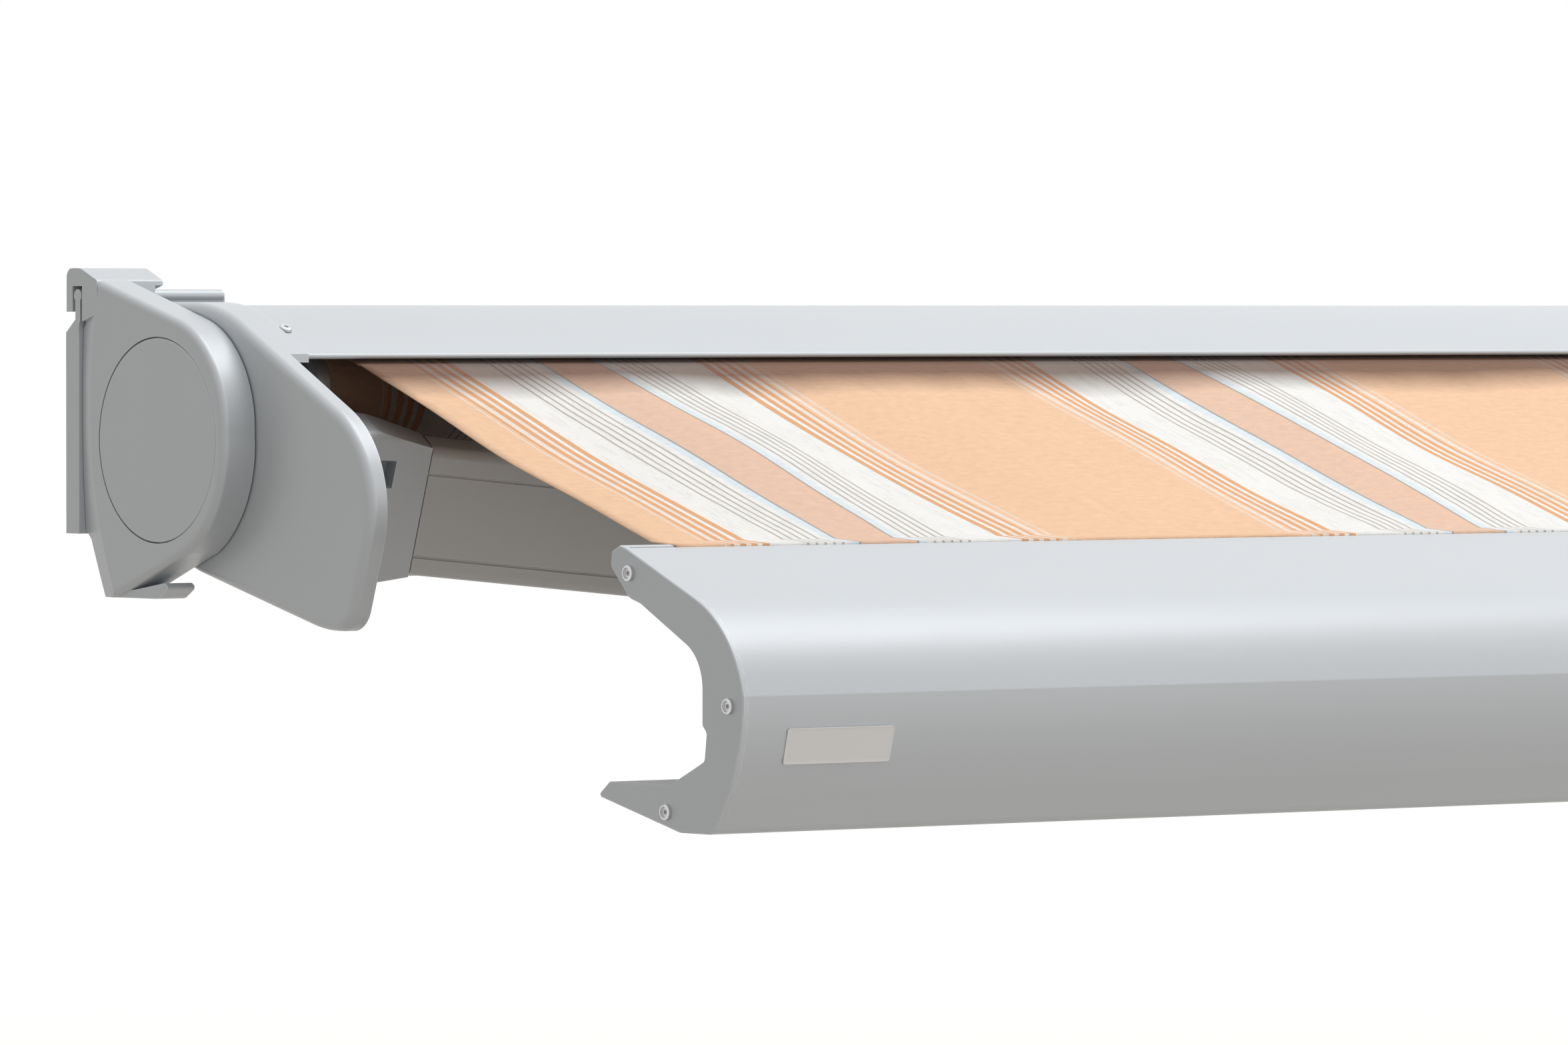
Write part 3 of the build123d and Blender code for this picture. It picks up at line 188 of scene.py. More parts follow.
class Finish:
    """The nodes of a material, or of the world, written as expressions."""

    def __init__(self, holder):
        holder.use_nodes = True
        self.holder = holder
        self.nodes = holder.node_tree.nodes
        self.links = holder.node_tree.links

    def node(self, kind, settings=None, inputs=None, output=0):
        """One node: its settings first, then the values or links of its sockets."""
        made = self.nodes.new(kind)
        for key, value in (settings or {}).items():
            if key == "stops":
                self.fill_ramp(made.color_ramp, value)
            else:
                setattr(made, key, value)
        for key, value in (inputs or {}).items():
            self.put(made.inputs[key], value)
        return Value(self, made.outputs[output])

    def fill_ramp(self, ramp, stops):
        ramp.interpolation = "CONSTANT"
        while len(ramp.elements) < len(stops):
            ramp.elements.new(1.0)
        for element, (position, colour) in zip(ramp.elements, stops):
            element.position = position
            element.color = (*colour, 1.0)

    def put(self, socket, value):
        if isinstance(value, Value):
            self.links.new(value.socket, socket)
        else:
            socket.default_value = value

    def set(self, **values):
        """Sets the shader's sockets: base_color sets Base Color, and so on."""
        shader = self.nodes["Principled BSDF"]
        for key, value in values.items():
            self.put(shader.inputs[key.replace("_", " ").title().replace("Ior", "IOR")], value)
        return self.holder

    def place(self, scale=(1.0, 1.0, 1.0)):
        """Object coordinates in metres, stretched by scale."""
        return self.scaled(self.node("ShaderNodeTexCoord", output="Object"), scale)

    def vector(self, operation, *others, output=0):
        """Vector Math: a vector, or a number where output is Value."""
        return self.node("ShaderNodeVectorMath", {"operation": operation}, dict(enumerate(others)), output)

    def noise(self, where, scale, detail=2.0, rough=0.5):
        return self.node(
            "ShaderNodeTexNoise",
            {},
            {"Vector": where, "Scale": scale, "Detail": detail, "Roughness": rough},
        )

    def scaled(self, where, scale):
        """The same coordinates, stretched by scale."""
        return self.node("ShaderNodeMapping", {}, {"Vector": where, "Scale": scale})

    def mix(self, factor, first, second, blend="MIX"):
        """Colour between first and second, or second laid over first in another blend."""
        return self.node(
            "ShaderNodeMix",
            {"data_type": "RGBA", "blend_type": blend},
            {0: factor, 6: first, 7: second},
            output=2,
        )

    def bump(self, height, distance, strength=1.0):
        return self.node(
            "ShaderNodeBump",
            {},
            {"Height": height, "Distance": distance, "Strength": strength},
        )

    def edge(self, radius):
        """1 on the part's edges and 0 on its faces."""
        rounded = self.node("ShaderNodeBevel", {"samples": 6}, {"Radius": radius})
        flat = self.node("ShaderNodeNewGeometry", output="Normal")
        match = self.vector("DOT_PRODUCT", rounded, flat, output="Value")
        return ((TURN_COSINE - match) * TURN_GAIN).clamped()


def new_finish(name):
    """An empty material, ready for its nodes."""
    return Finish(bpy.data.materials.new(name))


def rgba(colour, gain=1.0):
    """A colour as a socket takes it, lighter or darker by gain."""
    return (*(min(1.0, channel * gain) for channel in colour), 1.0)


def powder_coat(name, colour, along=1.0, joint=None):
    """Satin powder coat: fine orange peel, faint clouding, and paler edges that are partly wear and partly
    a painted highlight.

    A joint is a place and a direction: within the gap's width of it the coat is painted dark, a painted
    shadow of the gap between the arm's profile and its fork.
    """
    finish = new_finish(name)
    where = finish.place((along, 1.0, 1.0))
    cloud = finish.noise(where, 7.0, 3.0)
    speck = finish.noise(where, 1500.0, 2.0)
    peel = finish.noise(where, 420.0, 3.0)
    rub = finish.noise(where, 55.0, 4.0, 0.65)
    worn_and_highlit_edge = finish.edge(1.2 * MM) * (0.45 + (rub - 0.4) * 2).clamped()
    coat = finish.mix(cloud, rgba(colour, 0.97), rgba(colour, 1.02))
    coat = finish.mix(speck * 0.10, coat, rgba(colour, 1.16))
    # Paler edges and creases: partly wear, patchy with the rub noise, and partly a painted highlight
    coat = finish.mix(worn_and_highlit_edge * 0.55, coat, rgba(colour, 1.32))
    if joint:
        offset = finish.vector("SUBTRACT", finish.place(), joint[0])
        depth = finish.vector("DOT_PRODUCT", offset, joint[1], output="Value")
        # Painted shadow of the gap at the fork
        coat = finish.mix(depth.below(JOINT_SHADOW_WIDTH) * 0.85, coat, rgba(colour, 0.12))
    return finish.set(
        base_color=coat,
        metallic=0.12,
        roughness=0.38 + (rub - 0.5) * 0.10 + (speck - 0.5) * 0.08,
        normal=finish.bump(peel * 0.8 + speck * 0.2, 0.05 * MM, 0.35),
    )


def zinc_steel(name, colour):
    """Zinc-plated fastener: fine scratches and slightly dull patches."""
    finish = new_finish(name)
    patch = finish.noise(finish.place(), 240.0, 4.0, 0.6)
    scratch = finish.noise(finish.place((1.0, 9.0, 1.0)), 900.0, 2.0)
    base = finish.mix(patch, rgba(colour, 0.86), rgba(colour, 1.06))
    return finish.set(
        base_color=base,
        metallic=1.0,
        roughness=0.26 + patch * 0.16 + scratch * 0.06,
        normal=finish.bump(scratch, 0.03 * MM, 0.4),
    )


def moulded_plastic(name, colour):
    """Moulded plastic with a fine spark-eroded grain."""
    finish = new_finish(name)
    where = finish.place()
    grain = finish.noise(where, 1900.0, 3.0)
    flow = finish.noise(where, 22.0, 2.0)
    base = finish.mix(flow, rgba(colour, 0.94), rgba(colour, 1.05))
    return finish.set(
        base_color=base,
        roughness=0.52 + (grain - 0.5) * 0.14,
        normal=finish.bump(grain, 0.04 * MM, 0.4),
    )


def mill_aluminium(name, colour):
    """Bare extruded tube with die lines along its length."""
    finish = new_finish(name)
    lines = finish.noise(finish.place((0.01, 1.0, 1.0)), 1200.0, 3.0)
    cloud = finish.noise(finish.place(), 14.0, 2.0)
    base = finish.mix(cloud, rgba(colour, 0.92), rgba(colour, 1.03))
    return finish.set(
        base_color=base,
        metallic=1.0,
        roughness=0.34 + lines * 0.14,
        normal=finish.bump(lines, 0.03 * MM, 0.5),
    )


def stripe_stops(cloth):
    """Colours across half a repeat, from the middle of a tan stripe, as (share, colour)."""
    peach, tan, ice, white = cloth.peach, cloth.tan, cloth.ice, cloth.white
    line, grey = cloth.line, cloth.grey_line
    pale = tuple((p + 2 * w) / 3 for p, w in zip(peach, white))
    faint = tuple((2 * p + w) / 3 for p, w in zip(peach, white))
    bands = (
        (0.0, tan), (17.6, grey), (19.2, ice), (24.5, white),
        (86.4, line), (91.0, white), (94.2, line), (98.2, pale), (101.4, line), (105.2, pale),
        (108.6, line), (111.4, peach), (114.0, pale), (116.8, peach), (121.0, faint), (123.4, peach),
    )
    half = HALF_REPEAT / MM
    return [(distance / half, colour) for distance, colour in bands]


def striped_cloth(name, cloth, wound=False):
    """Woven acrylic with the stripes along its drop, read from the sheet's own map."""
    finish = new_finish(name)
    chart = finish.node("ShaderNodeUVMap", {"uv_map": "cloth"})
    across = finish.node("ShaderNodeSeparateXYZ", {}, {0: chart}, output="X")
    down = Value(finish, across.socket.node.outputs["Y"])
    turns = ((across - FIRST_TAN) / STRIPE_REPEAT + 0.5).math("FRACT")
    distance = (turns - 0.5).math("ABSOLUTE") * (2 * HALF_REPEAT / MM)
    distance = distance + across.below(EDGE_LINES) * EDGE_SHIFT
    stripes = finish.node(
        "ShaderNodeValToRGB",
        {"stops": stripe_stops(cloth)},
        {"Fac": distance / (HALF_REPEAT / MM)},
        output="Color",
    )
    fine = fine_lines(finish, chart, distance)
    stripes = finish.mix(fine * 0.8, stripes, rgba(cloth.grey_line))
    stripes = finish.mix(across.below(EDGE_BAND), stripes, rgba(cloth.peach))

    warp = (across * (2 * pi / WEAVE[0])).math("SINE")
    weft = (down * (2 * pi / WEAVE[1])).math("SINE")
    weave = warp * weft
    slub = finish.noise(finish.scaled(chart, (0.05, 1, 1)), 900.0, 3.0)
    streak = finish.noise(finish.scaled(chart, (1, 0.04, 1)), 420.0, 2.0)
    pucker = finish.noise(finish.scaled(chart, (0.55, 1, 1)), 230.0, 3.0, 0.6)
    wrinkle = finish.noise(finish.scaled(chart, (1, 0.16, 1)), 150.0, 3.0, 0.6)
    on_white = distance.above(WHITE_GROUND[0]) * distance.below(WHITE_GROUND[1])
    vein = (1.0 - (wrinkle - 0.56).math("ABSOLUTE") * 40).clamped() * on_white
    cloud = finish.noise(chart, 14.0, 3.0)

    shade = 0.88 + slub * 0.09 + cloud * 0.05 + streak * 0.04 + weave * 0.01
    # Painted shade of the puckers and wrinkles: darker where the pucker noise is low and along the wrinkle
    # lines, which also shape the relief
    shade = shade + (pucker - 0.5) * (1.0 - on_white * 0.7) * 0.26 - vein * 0.045
    dyed_and_shaded = finish.node("ShaderNodeVectorMath", {"operation": "SCALE"}, {0: stripes, "Scale": shade})
    # Painted shade: the cloth multiplied by a dark tint under the cassette's lip and over the whole roll
    shaded_cloth = finish.mix(1.0, dyed_and_shaded, rgba(cloth.shade_tint), blend="MULTIPLY")
    painted_shade = roll_shade(cloud) if wound else lip_shade(down, cloud)
    relief = weave * 0.05 + slub * 0.10 + pucker * (1.2 - on_white) - vein * 0.15
    return finish.set(
        base_color=finish.mix(painted_shade, dyed_and_shaded, shaded_cloth),
        roughness=0.82 + weave * 0.04,
        sheen_weight=0.12,
        sheen_roughness=0.5,
        normal=finish.bump(relief, 1.4 * MM, 0.9),
    )


def fine_lines(finish, chart, distance):
    """1 on the thin grey lines in the white ground beside a tan stripe; they wind a little."""
    winding = finish.noise(finish.scaled(chart, (0.6, 1, 1)), 34.0, 2.0) - 0.5
    strand = distance + winding * 1.6
    start, end = FINE_LINES
    lines = ((strand - start) / FINE_STEP).math("FRACT").below(FINE_SHARE)
    return lines * strand.above(start) * strand.below(end)


def lip_shade(down, cloud):
    """Painted shade where the stretched cloth leaves the cassette, darkest just under the lip."""
    near = 1.0 - (down - LIP_DOWN) / SHADE_REACH + (cloud - 0.5) * 0.25
    return near.clamped() * 0.9


def roll_shade(cloud):
    """Painted shade over the cloth that is wound on the roller, deep inside the cassette."""
    return (0.82 + (cloud - 0.5) * 0.2).clamped()


def plate_film(name, colour):
    """Satin film of the blank rating plate, with a paler rim."""
    finish = new_finish(name)
    grain = finish.noise(finish.place((0.1, 1.0, 1.0)), 2400.0, 2.0)
    cloud = finish.noise(finish.place(), 90.0, 2.0)
    base = finish.mix(grain * 0.3, rgba(colour, 0.96), rgba(colour, 1.04))
    return finish.set(
        base_color=finish.mix(finish.edge(1.4 * MM), base, rgba((1.0, 1.0, 1.0), 0.96)),
        roughness=0.3 + cloud * 0.08,
        normal=finish.bump(grain, 0.01 * MM, 0.2),
    )


def new_piece(name, mesh_maker, material, *, smooth=True):
    """Turns a finished bmesh into an object at the origin with one material."""
    mesh = bpy.data.meshes.new(name)
    mesh_maker.to_mesh(mesh)
    mesh_maker.free()
    mesh.materials.append(material)
    for face in mesh.polygons:
        face.use_smooth = smooth
    piece = bpy.data.objects.new(name, mesh)
    bpy.context.scene.collection.objects.link(piece)
    return piece


def thicken(piece, thickness):
    """Gives a sheet its real thickness, half to each side."""
    solid = piece.modifiers.new("cloth_thickness", "SOLIDIFY")
    solid.thickness = thickness
    solid.offset = 0.0
    solid.use_even_offset = True


class AwningCloth(bpy.types.PropertyGroup):
    peach: FloatVectorProperty(
        name="Peach", description="Wide stripes", subtype="COLOR", default=(0.95, 0.62, 0.40)
    )
    tan: FloatVectorProperty(
        name="Tan", description="Narrow stripes", subtype="COLOR", default=(0.87, 0.59, 0.44)
    )
    line: FloatVectorProperty(
        name="Line", description="Thin lines beside the wide stripes", subtype="COLOR",
        default=(0.84, 0.43, 0.20),
    )
    ice: FloatVectorProperty(
        name="Ice blue", description="Lines beside the tan stripes", subtype="COLOR",
        default=(0.80, 0.90, 0.96),
    )
    white: FloatVectorProperty(
        name="White", description="Ground between the stripes", subtype="COLOR", default=(0.95, 0.95, 0.93)
    )
    grey_line: FloatVectorProperty(
        name="Grey line", description="Fine lines in the white ground", subtype="COLOR",
        default=(0.44, 0.39, 0.36),
    )
    # Colour of the painted shade under the cassette's lip and on the roller
    shade_tint: FloatVectorProperty(
        name="Shade tint", description="Tint of the painted shade on the cloth", subtype="COLOR",
        default=(0.13, 0.07, 0.045),
    )
    thickness: FloatProperty(
        name="Thickness", description="Thickness of the stretched cloth", unit="LENGTH",
        default=0.5 * MM, precision=5,
    )
    wound_thickness: FloatProperty(
        name="Wound thickness", description="Thickness of the cloth on the roller", unit="LENGTH",
        default=0.4 * MM, precision=5,
    )
    sag: FloatProperty(
        name="Sag", description="How far the stretched cloth hangs in the middle", unit="LENGTH",
        default=1.5 * MM,
    )
    ripple: FloatProperty(
        name="Ripple", description="Height of the ripples in the stretched cloth", unit="LENGTH",
        default=3.6 * MM,
    )
    turns: IntProperty(name="Turns", description="Turns of cloth on the roller", default=6, min=2)


class AwningFinishes(bpy.types.PropertyGroup):
    coat: FloatVectorProperty(
        name="Powder coat", description="Silver-grey of castings and profiles", subtype="COLOR",
        default=(0.60, 0.635, 0.67),
    )
    # A darker, warmer copy of the powder coat: painted shade for the folding arms, which lie under the
    # cloth
    arm: FloatVectorProperty(
        name="Arm coat in shade", description="Darker copy of the coat, painted shade for the arms under the cloth", subtype="COLOR",
        default=(0.56, 0.565, 0.575),
    )
    steel: FloatVectorProperty(
        name="Steel", description="Zinc plate on fasteners", subtype="COLOR", default=(0.66, 0.66, 0.67)
    )
    plastic: FloatVectorProperty(
        name="Plastic", description="Bearing, gearbox and roller plugs", subtype="COLOR",
        default=(0.20, 0.20, 0.21),
    )
    tube: FloatVectorProperty(
        name="Tube", description="Bare roller tube", subtype="COLOR", default=(0.72, 0.73, 0.75)
    )
    plate: FloatVectorProperty(
        name="Plate", description="Blank rating plate", subtype="COLOR", default=(0.97, 0.98, 1.0)
    )


class AwningStage(bpy.types.PropertyGroup):
    floor_height: FloatProperty(
        name="Floor height", description="Height of the pale floor", unit="LENGTH", default=-0.8
    )
    ambient: FloatProperty(name="Ambient", description="Strength of the light from all round", default=0.46)
    key_power: FloatProperty(
        name="Key", description="Power of the large lamp above", unit="POWER", default=76.0
    )
    fill_power: FloatProperty(
        name="Fill", description="Power of the lamp in front", unit="POWER", default=16.0
    )
    floor_colour: FloatVectorProperty(
        name="Floor", description="Colour that the floor throws back", subtype="COLOR",
        default=(0.45, 0.42, 0.38),
    )
    sky_colour: FloatVectorProperty(
        name="Sky", description="Colour of the light from all round", subtype="COLOR",
        default=(1.0, 0.975, 0.94),
    )


class AWNING_OT_canopy(bpy.types.Operator):
    """Makes the cloth from the roller to the groove of the front bar, in two lengths"""

    bl_idname = "awning.canopy"
    bl_label = "Canopy"

    def execute(self, context):
        cloth = context.scene.awning_cloth
        # Places in the section, as (Y, Z): on the roll, at the bar's lip, and down into the bar's groove
        rear = Vector((CANOPY_HIGH.y - 6.5 * MM, CANOPY_HIGH.z - 2.6 * MM))
        lip = Vector((BAR_HIGH.y - 0.3 * MM, BAR_HIGH.z + 0.9 * MM))
        groove = Vector((CANOPY_LOW.y + 0.35 * MM, lip.y - 1.3 * MM))
        inside = Vector((groove.x, CANOPY_LOW.z + 0.5 * MM))
        run = (lip - rear).length
        split = rear + (lip - rear) * (LEADER / run)
        under = Vector((0, -1.4 * cloth.thickness))
        leader = []
        for row in range(LEADER_ROWS + 1):
            share = row / LEADER_ROWS
            leader.append((rear.lerp(split, share) + under, share * LEADER))
        rows = []
        for row in range(DROP_ROWS + 1):
            share = row / DROP_ROWS
            rows.append((split.lerp(lip, share), LEADER + share * (run - LEADER)))
        for spot in (lip.lerp(groove, 0.5), groove, groove.lerp(inside, 0.5), inside):
            rows.append((spot, rows[-1][1] + (spot - rows[-1][0]).length))
        finish = striped_cloth("canopy_cloth", cloth)
        held = self.lay(cloth, "canopy_leader", leader, finish)
        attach(held, "cassette")
        piece = self.lay(cloth, "canopy_cloth", rows, finish, ripples=(LEADER, run))
        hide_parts("canopy")
        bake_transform(piece)
        rows[-1][1] - LEADER
        return {"FINISHED"}

    def lay(self, cloth, name, rows, finish, ripples=None):
        """One length of cloth over rows of (place in the section, length from the roller).

        The ripples run between two such lengths.
        """
        made = bmesh.new()
        bmesh.ops.create_grid(made, x_segments=CLOTH_COLUMNS, y_segments=len(rows) - 1, size=0.5)
        chart = made.loops.layers.uv.new("cloth")
        reach = {}
        for vert in made.verts:
            x = CANOPY_LOW.x + (vert.co.x + 0.5) * CLOTH_WIDTH
            spot, length = rows[round((vert.co.y + 0.5) * (len(rows) - 1))]
            lift = 0.0
            if ripples and length < ripples[1]:
                share = (length - ripples[0]) / (ripples[1] - ripples[0])
                lift = cloth_relief(x, share) * cloth.ripple - cloth.sag * sin(share * pi)
            vert.co = Vector((x, spot.x, spot.y + lift))
            reach[vert] = length
        for face in made.faces:
            for loop in face.loops:
                loop[chart].uv = (loop.vert.co.x, reach[loop.vert])
        bmesh.ops.recalc_face_normals(made, faces=made.faces)
        piece = new_piece(name, made, finish)
        thicken(piece, cloth.thickness)
        return piece


class AWNING_OT_roll(bpy.types.Operator):
    """Makes the cloth that is wound on the roller, as one spiral"""

    bl_idname = "awning.roll"
    bl_label = "Cloth on the roller"

    def execute(self, context):
        cloth = context.scene.awning_cloth
        inner = TUBE_RADIUS + ROLL_GAPS[0]
        outer = ROLL_RADIUS - ROLL_GAPS[1]
        steps = cloth.turns * STEPS_PER_TURN
        made = bmesh.new()
        chart = made.loops.layers.uv.new("cloth")
        length, run, previous = {}, 0.0, None
        for step in range(steps + 1):
            share = step / steps
            radius = outer + (inner - outer) * share
            turn = LEAVES_ROLL - share * cloth.turns * 2 * pi
            spot = ROLLER_CENTRE + radius * Vector((0, cos(turn), sin(turn)))
            vert = made.verts.new((ROLL_LOW.x, spot.y, spot.z))
            if previous:
                run += (vert.co - previous.co).length
                made.edges.new((previous, vert))
            length[round(spot.y, 7), round(spot.z, 7)] = run
            previous = vert
        grown = bmesh.ops.extrude_edge_only(made, edges=made.edges[:])
        far = [item for item in grown["geom"] if isinstance(item, bmesh.types.BMVert)]
        bmesh.ops.translate(made, verts=far, vec=(CLOTH_WIDTH, 0, 0))
        for face in made.faces:
            for loop in face.loops:
                spot = loop.vert.co
                loop[chart].uv = (spot.x, -length[round(spot.y, 7), round(spot.z, 7)])
        piece = new_piece("roller_cloth", made, striped_cloth("roller_cloth", cloth, wound=True))
        thicken(piece, cloth.wound_thickness)
        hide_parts("fabric_roll")
        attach(piece, "roller")
        return {"FINISHED"}


class AWNING_OT_plate(bpy.types.Operator):
    """Makes the blank rating plate on the face of the front bar"""

    bl_idname = "awning.plate"
    bl_label = "Rating plate"

    def execute(self, context):
        finishes = context.scene.awning_finishes
        made = bmesh.new()
        bmesh.ops.create_cube(made, size=1.0)
        bmesh.ops.scale(made, vec=PLATE, verts=made.verts)
        corners = [
            edge for edge in made.edges
            if abs(edge.verts[0].co.y - edge.verts[1].co.y) > PLATE.y / 2
        ]
        bmesh.ops.bevel(
            made, geom=corners, offset=1.6 * MM, offset_type="OFFSET", segments=5,
            profile=0.5, affect="EDGES", material=-1,
        )
        front = min(made.faces, key=lambda face: face.calc_center_median().y)
        bmesh.ops.inset_region(made, faces=[front], thickness=1.3 * MM, depth=-0.12 * MM)
        lean = Matrix.Rotation(bar_face_lean(PLATE_Z), 3, "X")
        bmesh.ops.rotate(made, cent=(0, 0, 0), matrix=lean, verts=made.verts)
        place = Vector((PLATE_X, bar_face(PLATE_Z) - 0.35 * MM, PLATE_Z))
        bmesh.ops.translate(made, vec=place, verts=made.verts)
        piece = new_piece("rating_plate", made, plate_film("plate_film", finishes.plate), smooth=False)
        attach(piece, "front_bar")
        return {"FINISHED"}


def cloth_relief(x, share):
    """Ripples that run down the drop, as a share of their height, dying out where the cloth is held."""
    along = x - CANOPY_LOW.x
    broad = cos((along - 146 * MM) / (215 * MM) * 2 * pi) + 0.45 * sin(along / (131 * MM) * 2 * pi)
    short = 0.16 * sin(along / (47 * MM) * 2 * pi + 4 * share) * (1 - share)
    crease = 0.3 * sin(3 * pi * share) * cos(along / (310 * MM) * 2 * pi)
    return (broad / 1.45 + short + crease) * sin(pi * min(1.0, share * 1.04)) ** 0.8


def bar_face(height):
    """Y of the front bar's outer face at this height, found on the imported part."""
    bar = frame["nodes"]["front_bar"]
    hit, place, _, _ = bar.ray_cast(Vector((0, -2, height)), Vector((0, 1, 0)))
    if not hit:
        raise RuntimeError("the front bar has no face at the plate's height")
    return place.y


def bar_face_lean(height):
    """How far the bar's face leans there, as a turn about X."""
    reach = 6 * MM
    above, below = bar_face(height + reach), bar_face(height - reach)
    return -atan((above - below) / (2 * reach))


def arm_joint(side):
    """Where an upper arm's profile meets its shoulder fork, and the way the arm runs."""
    places = {entry["name"]: entry.get("pos_m") for entry in frame["record"]["behaviour"]["joints"]}
    shoulder, elbow = Vector(places[side + "_shoulder"]), Vector(places[side + "_elbow"])
    along = (elbow - shoulder).normalized()
    profile = frame["nodes"]["upper_arm_" + side].data
    start = min((vert.co - shoulder).dot(along) for vert in profile.vertices)
    return shoulder + start * along, along


class AWNING_OT_coats(bpy.types.Operator):
    """Gives every carried-over node the finish of its material slot, and the arms their own"""

    bl_idname = "awning.coats"
    bl_label = "Finishes"

    def execute(self, context):
        finishes = context.scene.awning_finishes
        made = {
            "coated_casting": powder_coat("coated_casting", finishes.coat),
            "coated_profile": powder_coat("coated_profile", finishes.coat, along=0.35),
            "coated_arm": powder_coat("coated_arm", finishes.arm, along=0.35),
            "bare_tube": mill_aluminium("bare_tube", finishes.tube),
            "grey_plastic": moulded_plastic("grey_plastic", finishes.plastic),
            "steel": zinc_steel("zinc_steel", finishes.steel),
        }
        # Each upper arm gets a painted shadow where its profile meets the fork
        for side in ("left", "right"):
            arm = "upper_arm_" + side
            made[arm] = powder_coat("coated_" + arm, finishes.arm, along=0.35, joint=arm_joint(side))
        for entry in frame["record"]["subparts"]:
            node = frame["nodes"][entry["node"]]
            kind = entry["material_slot"]
            # The forearms take the same painted shade as the upper arms
            if "forearm_" in entry["node"]:
                kind = "coated_arm"
            if entry["node"] in made:
                kind = entry["node"]
            if kind in made:
                node.data.materials.clear()
                node.data.materials.append(made[kind])
        return {"FINISHED"}


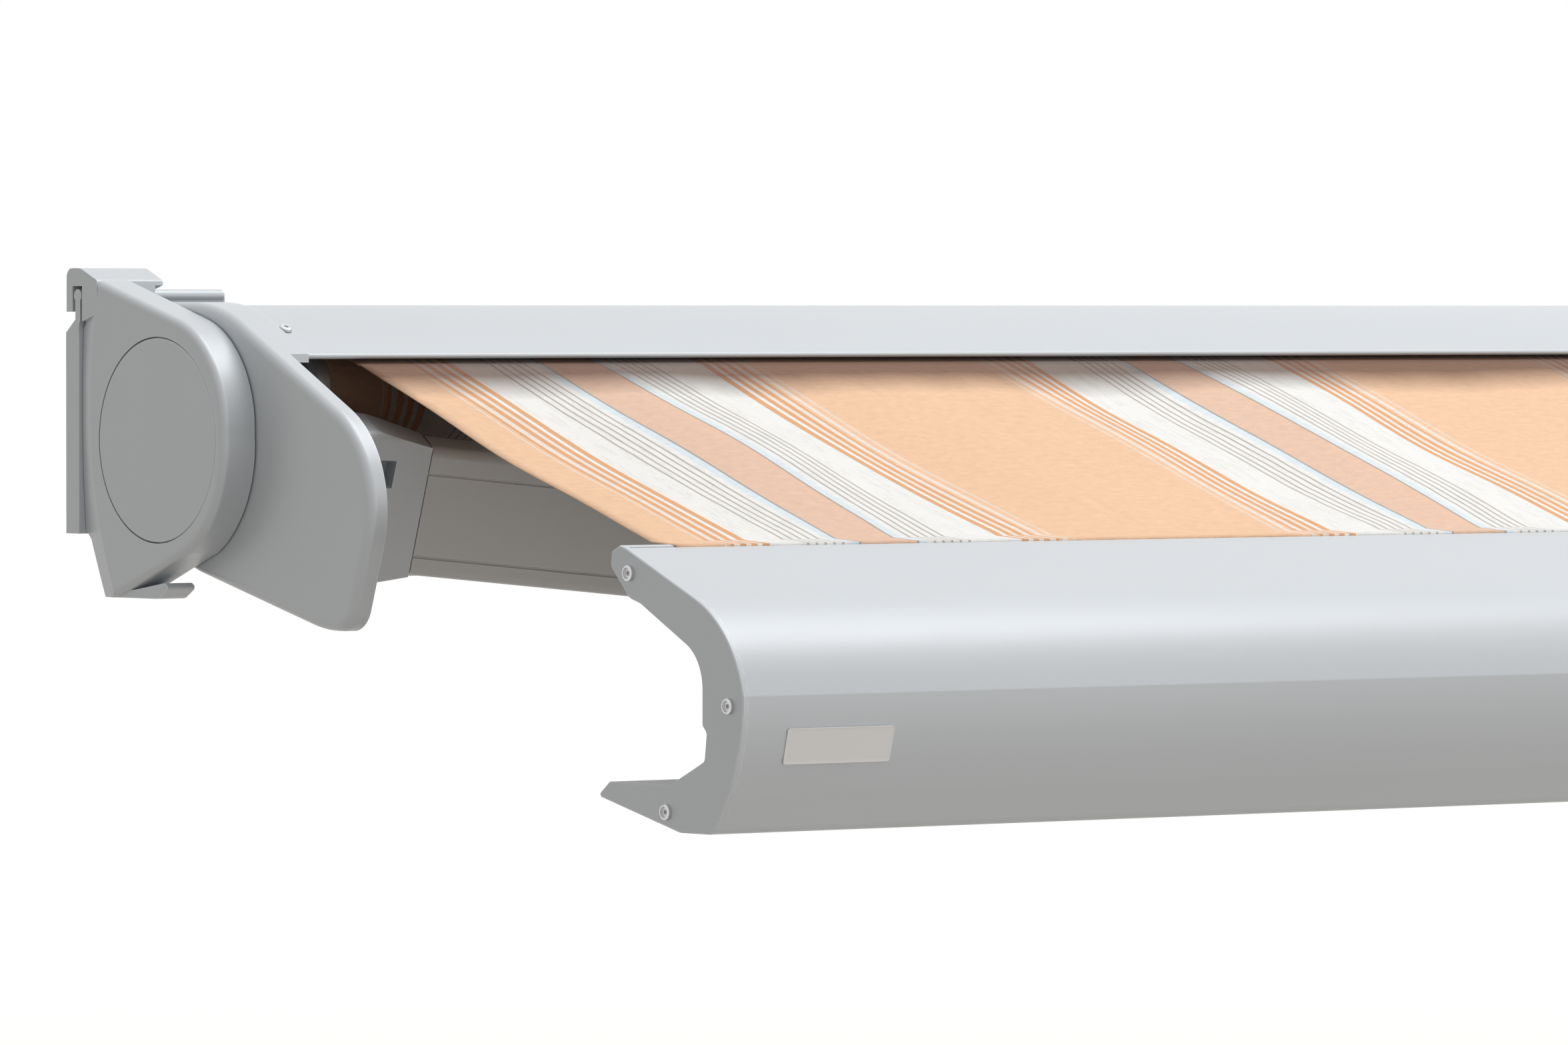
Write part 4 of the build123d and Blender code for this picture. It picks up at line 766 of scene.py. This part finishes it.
class AWNING_OT_stage(bpy.types.Operator):
    """Sets the pale floor, the soft light and the camera of the photograph"""

    bl_idname = "awning.stage"
    bl_label = "Stage"

    def execute(self, context):
        stage = context.scene.awning_stage
        scene = context.scene
        scene.view_settings.view_transform = "Standard"
        self.lay_floor(stage)
        self.light_world(scene, stage)
        self.hang_lamp(scene, "key_lamp", LAMP, stage.key_power)
        self.hang_lamp(scene, "fill_lamp", FILL, stage.fill_power)
        self.set_camera(scene)
        return {"FINISHED"}

    def lay_floor(self, stage):
        """A round floor, far wider than the picture."""
        made = bmesh.new()
        bmesh.ops.create_circle(made, cap_ends=True, segments=96, radius=FLOOR_RADIUS)
        bmesh.ops.translate(made, vec=(0, 0, stage.floor_height), verts=made.verts)
        floor = new_piece("floor", made, self.floor_material(stage), smooth=False)

    def floor_material(self, stage):
        finish = new_finish("pale_floor")
        tone = rgba(stage.floor_colour)
        where = finish.place()
        away = finish.vector("LENGTH", where, output="Value")
        far = ((away - FLOOR_NEAR) / FLOOR_FADE).clamped()
        lift = FLOOR_LIFT[0] + far * (FLOOR_LIFT[1] - FLOOR_LIFT[0])
        return finish.set(
            base_color=finish.mix(finish.noise(where, 3.0), tone, rgba(tone[:3], 0.99)),
            roughness=0.9,
            specular_ior_level=0.0,
            emission_color=finish.mix(self.seen(finish) * lift, rgba((0, 0, 0)), rgba((1, 1, 1))),
            emission_strength=1.0,
        )

    def seen(self, finish):
        """1 for the rays that show the background: camera, glossy and transmission."""
        path = finish.node("ShaderNodeLightPath", output="Is Camera Ray")
        outputs = path.socket.node.outputs
        glossy = Value(finish, outputs["Is Glossy Ray"])
        through = Value(finish, outputs["Is Transmission Ray"])
        return (path + glossy + through).clamped()

    def light_world(self, scene, stage):
        """Soft light from all round, which the rays that show the background see as white."""
        world = bpy.data.worlds.new("studio")
        scene.world = world
        finish = Finish(world)
        white = rgba((1, 1, 1))
        around = rgba(stage.sky_colour)
        soft = finish.node("ShaderNodeBackground", {}, {"Color": around, "Strength": stage.ambient})
        plain = finish.node("ShaderNodeBackground", {}, {"Color": white, "Strength": 1.0})
        sky = finish.node("ShaderNodeMixShader", {}, {0: self.seen(finish), 1: soft, 2: plain})
        finish.put(finish.nodes["World Output"].inputs["Surface"], sky)

    def hang_lamp(self, scene, name, place, power):
        """A square lamp that the camera doesn't see."""
        lamp = bpy.data.lights.new(name, "AREA")
        lamp.shape = "SQUARE"
        lamp.size = LAMP_SIZE
        lamp.energy = power
        held = bpy.data.objects.new(name, lamp)
        held.location = place
        held.visible_camera = False
        held.rotation_mode = "QUATERNION"
        held.rotation_quaternion = (LAMP_AIM - place).to_track_quat("-Z", "Y")
        scene.collection.objects.link(held)

    def set_camera(self, scene):
        data = bpy.data.cameras.new("photo_camera")
        data.sensor_width = 36.0
        data.lens = LENS
        data.clip_end = 200.0
        camera = bpy.data.objects.new("photo_camera", data)
        level = cos(VIEW_DROP)
        ahead = Vector((sin(VIEW_TURN) * level, cos(VIEW_TURN) * level, -sin(VIEW_DROP)))
        camera.location = EYE
        camera.rotation_mode = "QUATERNION"
        camera.rotation_quaternion = ahead.to_track_quat("-Z", "Y")
        scene.collection.objects.link(camera)
        scene.camera = camera


class AWNING_PT_panel(bpy.types.Panel):
    """Lists the awning's steps and values"""

    bl_idname = "AWNING_PT_panel"
    bl_label = "Awning"
    bl_space_type = "VIEW_3D"
    bl_region_type = "UI"
    bl_category = "Awning"

    def draw(self, context):
        for name, kind in GROUPS.items():
            box = self.layout.box()
            for setting in kind.__annotations__:
                box.prop(getattr(context.scene, name), setting)
        for operator in OPERATORS:
            self.layout.operator(operator.bl_idname)


GROUPS = {
    "awning_cloth": AwningCloth,
    "awning_finishes": AwningFinishes,
    "awning_stage": AwningStage,
}
OPERATORS = (AWNING_OT_coats, AWNING_OT_roll, AWNING_OT_canopy, AWNING_OT_plate, AWNING_OT_stage)


def register():
    for group in GROUPS.values():
        bpy.utils.register_class(group)
    for name, group in GROUPS.items():
        setattr(bpy.types.Scene, name, PointerProperty(type=group))
    for operator in OPERATORS:
        bpy.utils.register_class(operator)
    bpy.utils.register_class(AWNING_PT_panel)


def unregister():
    bpy.utils.unregister_class(AWNING_PT_panel)
    for operator in reversed(OPERATORS):
        bpy.utils.unregister_class(operator)
    for name, group in GROUPS.items():
        delattr(bpy.types.Scene, name)
        bpy.utils.unregister_class(group)


def main():
    register()
    bpy.ops.awning.coats()
    bpy.ops.awning.roll()
    bpy.ops.awning.canopy()
    bpy.ops.awning.plate()
    bpy.ops.awning.stage()


if __name__ == "__main__":
    main()
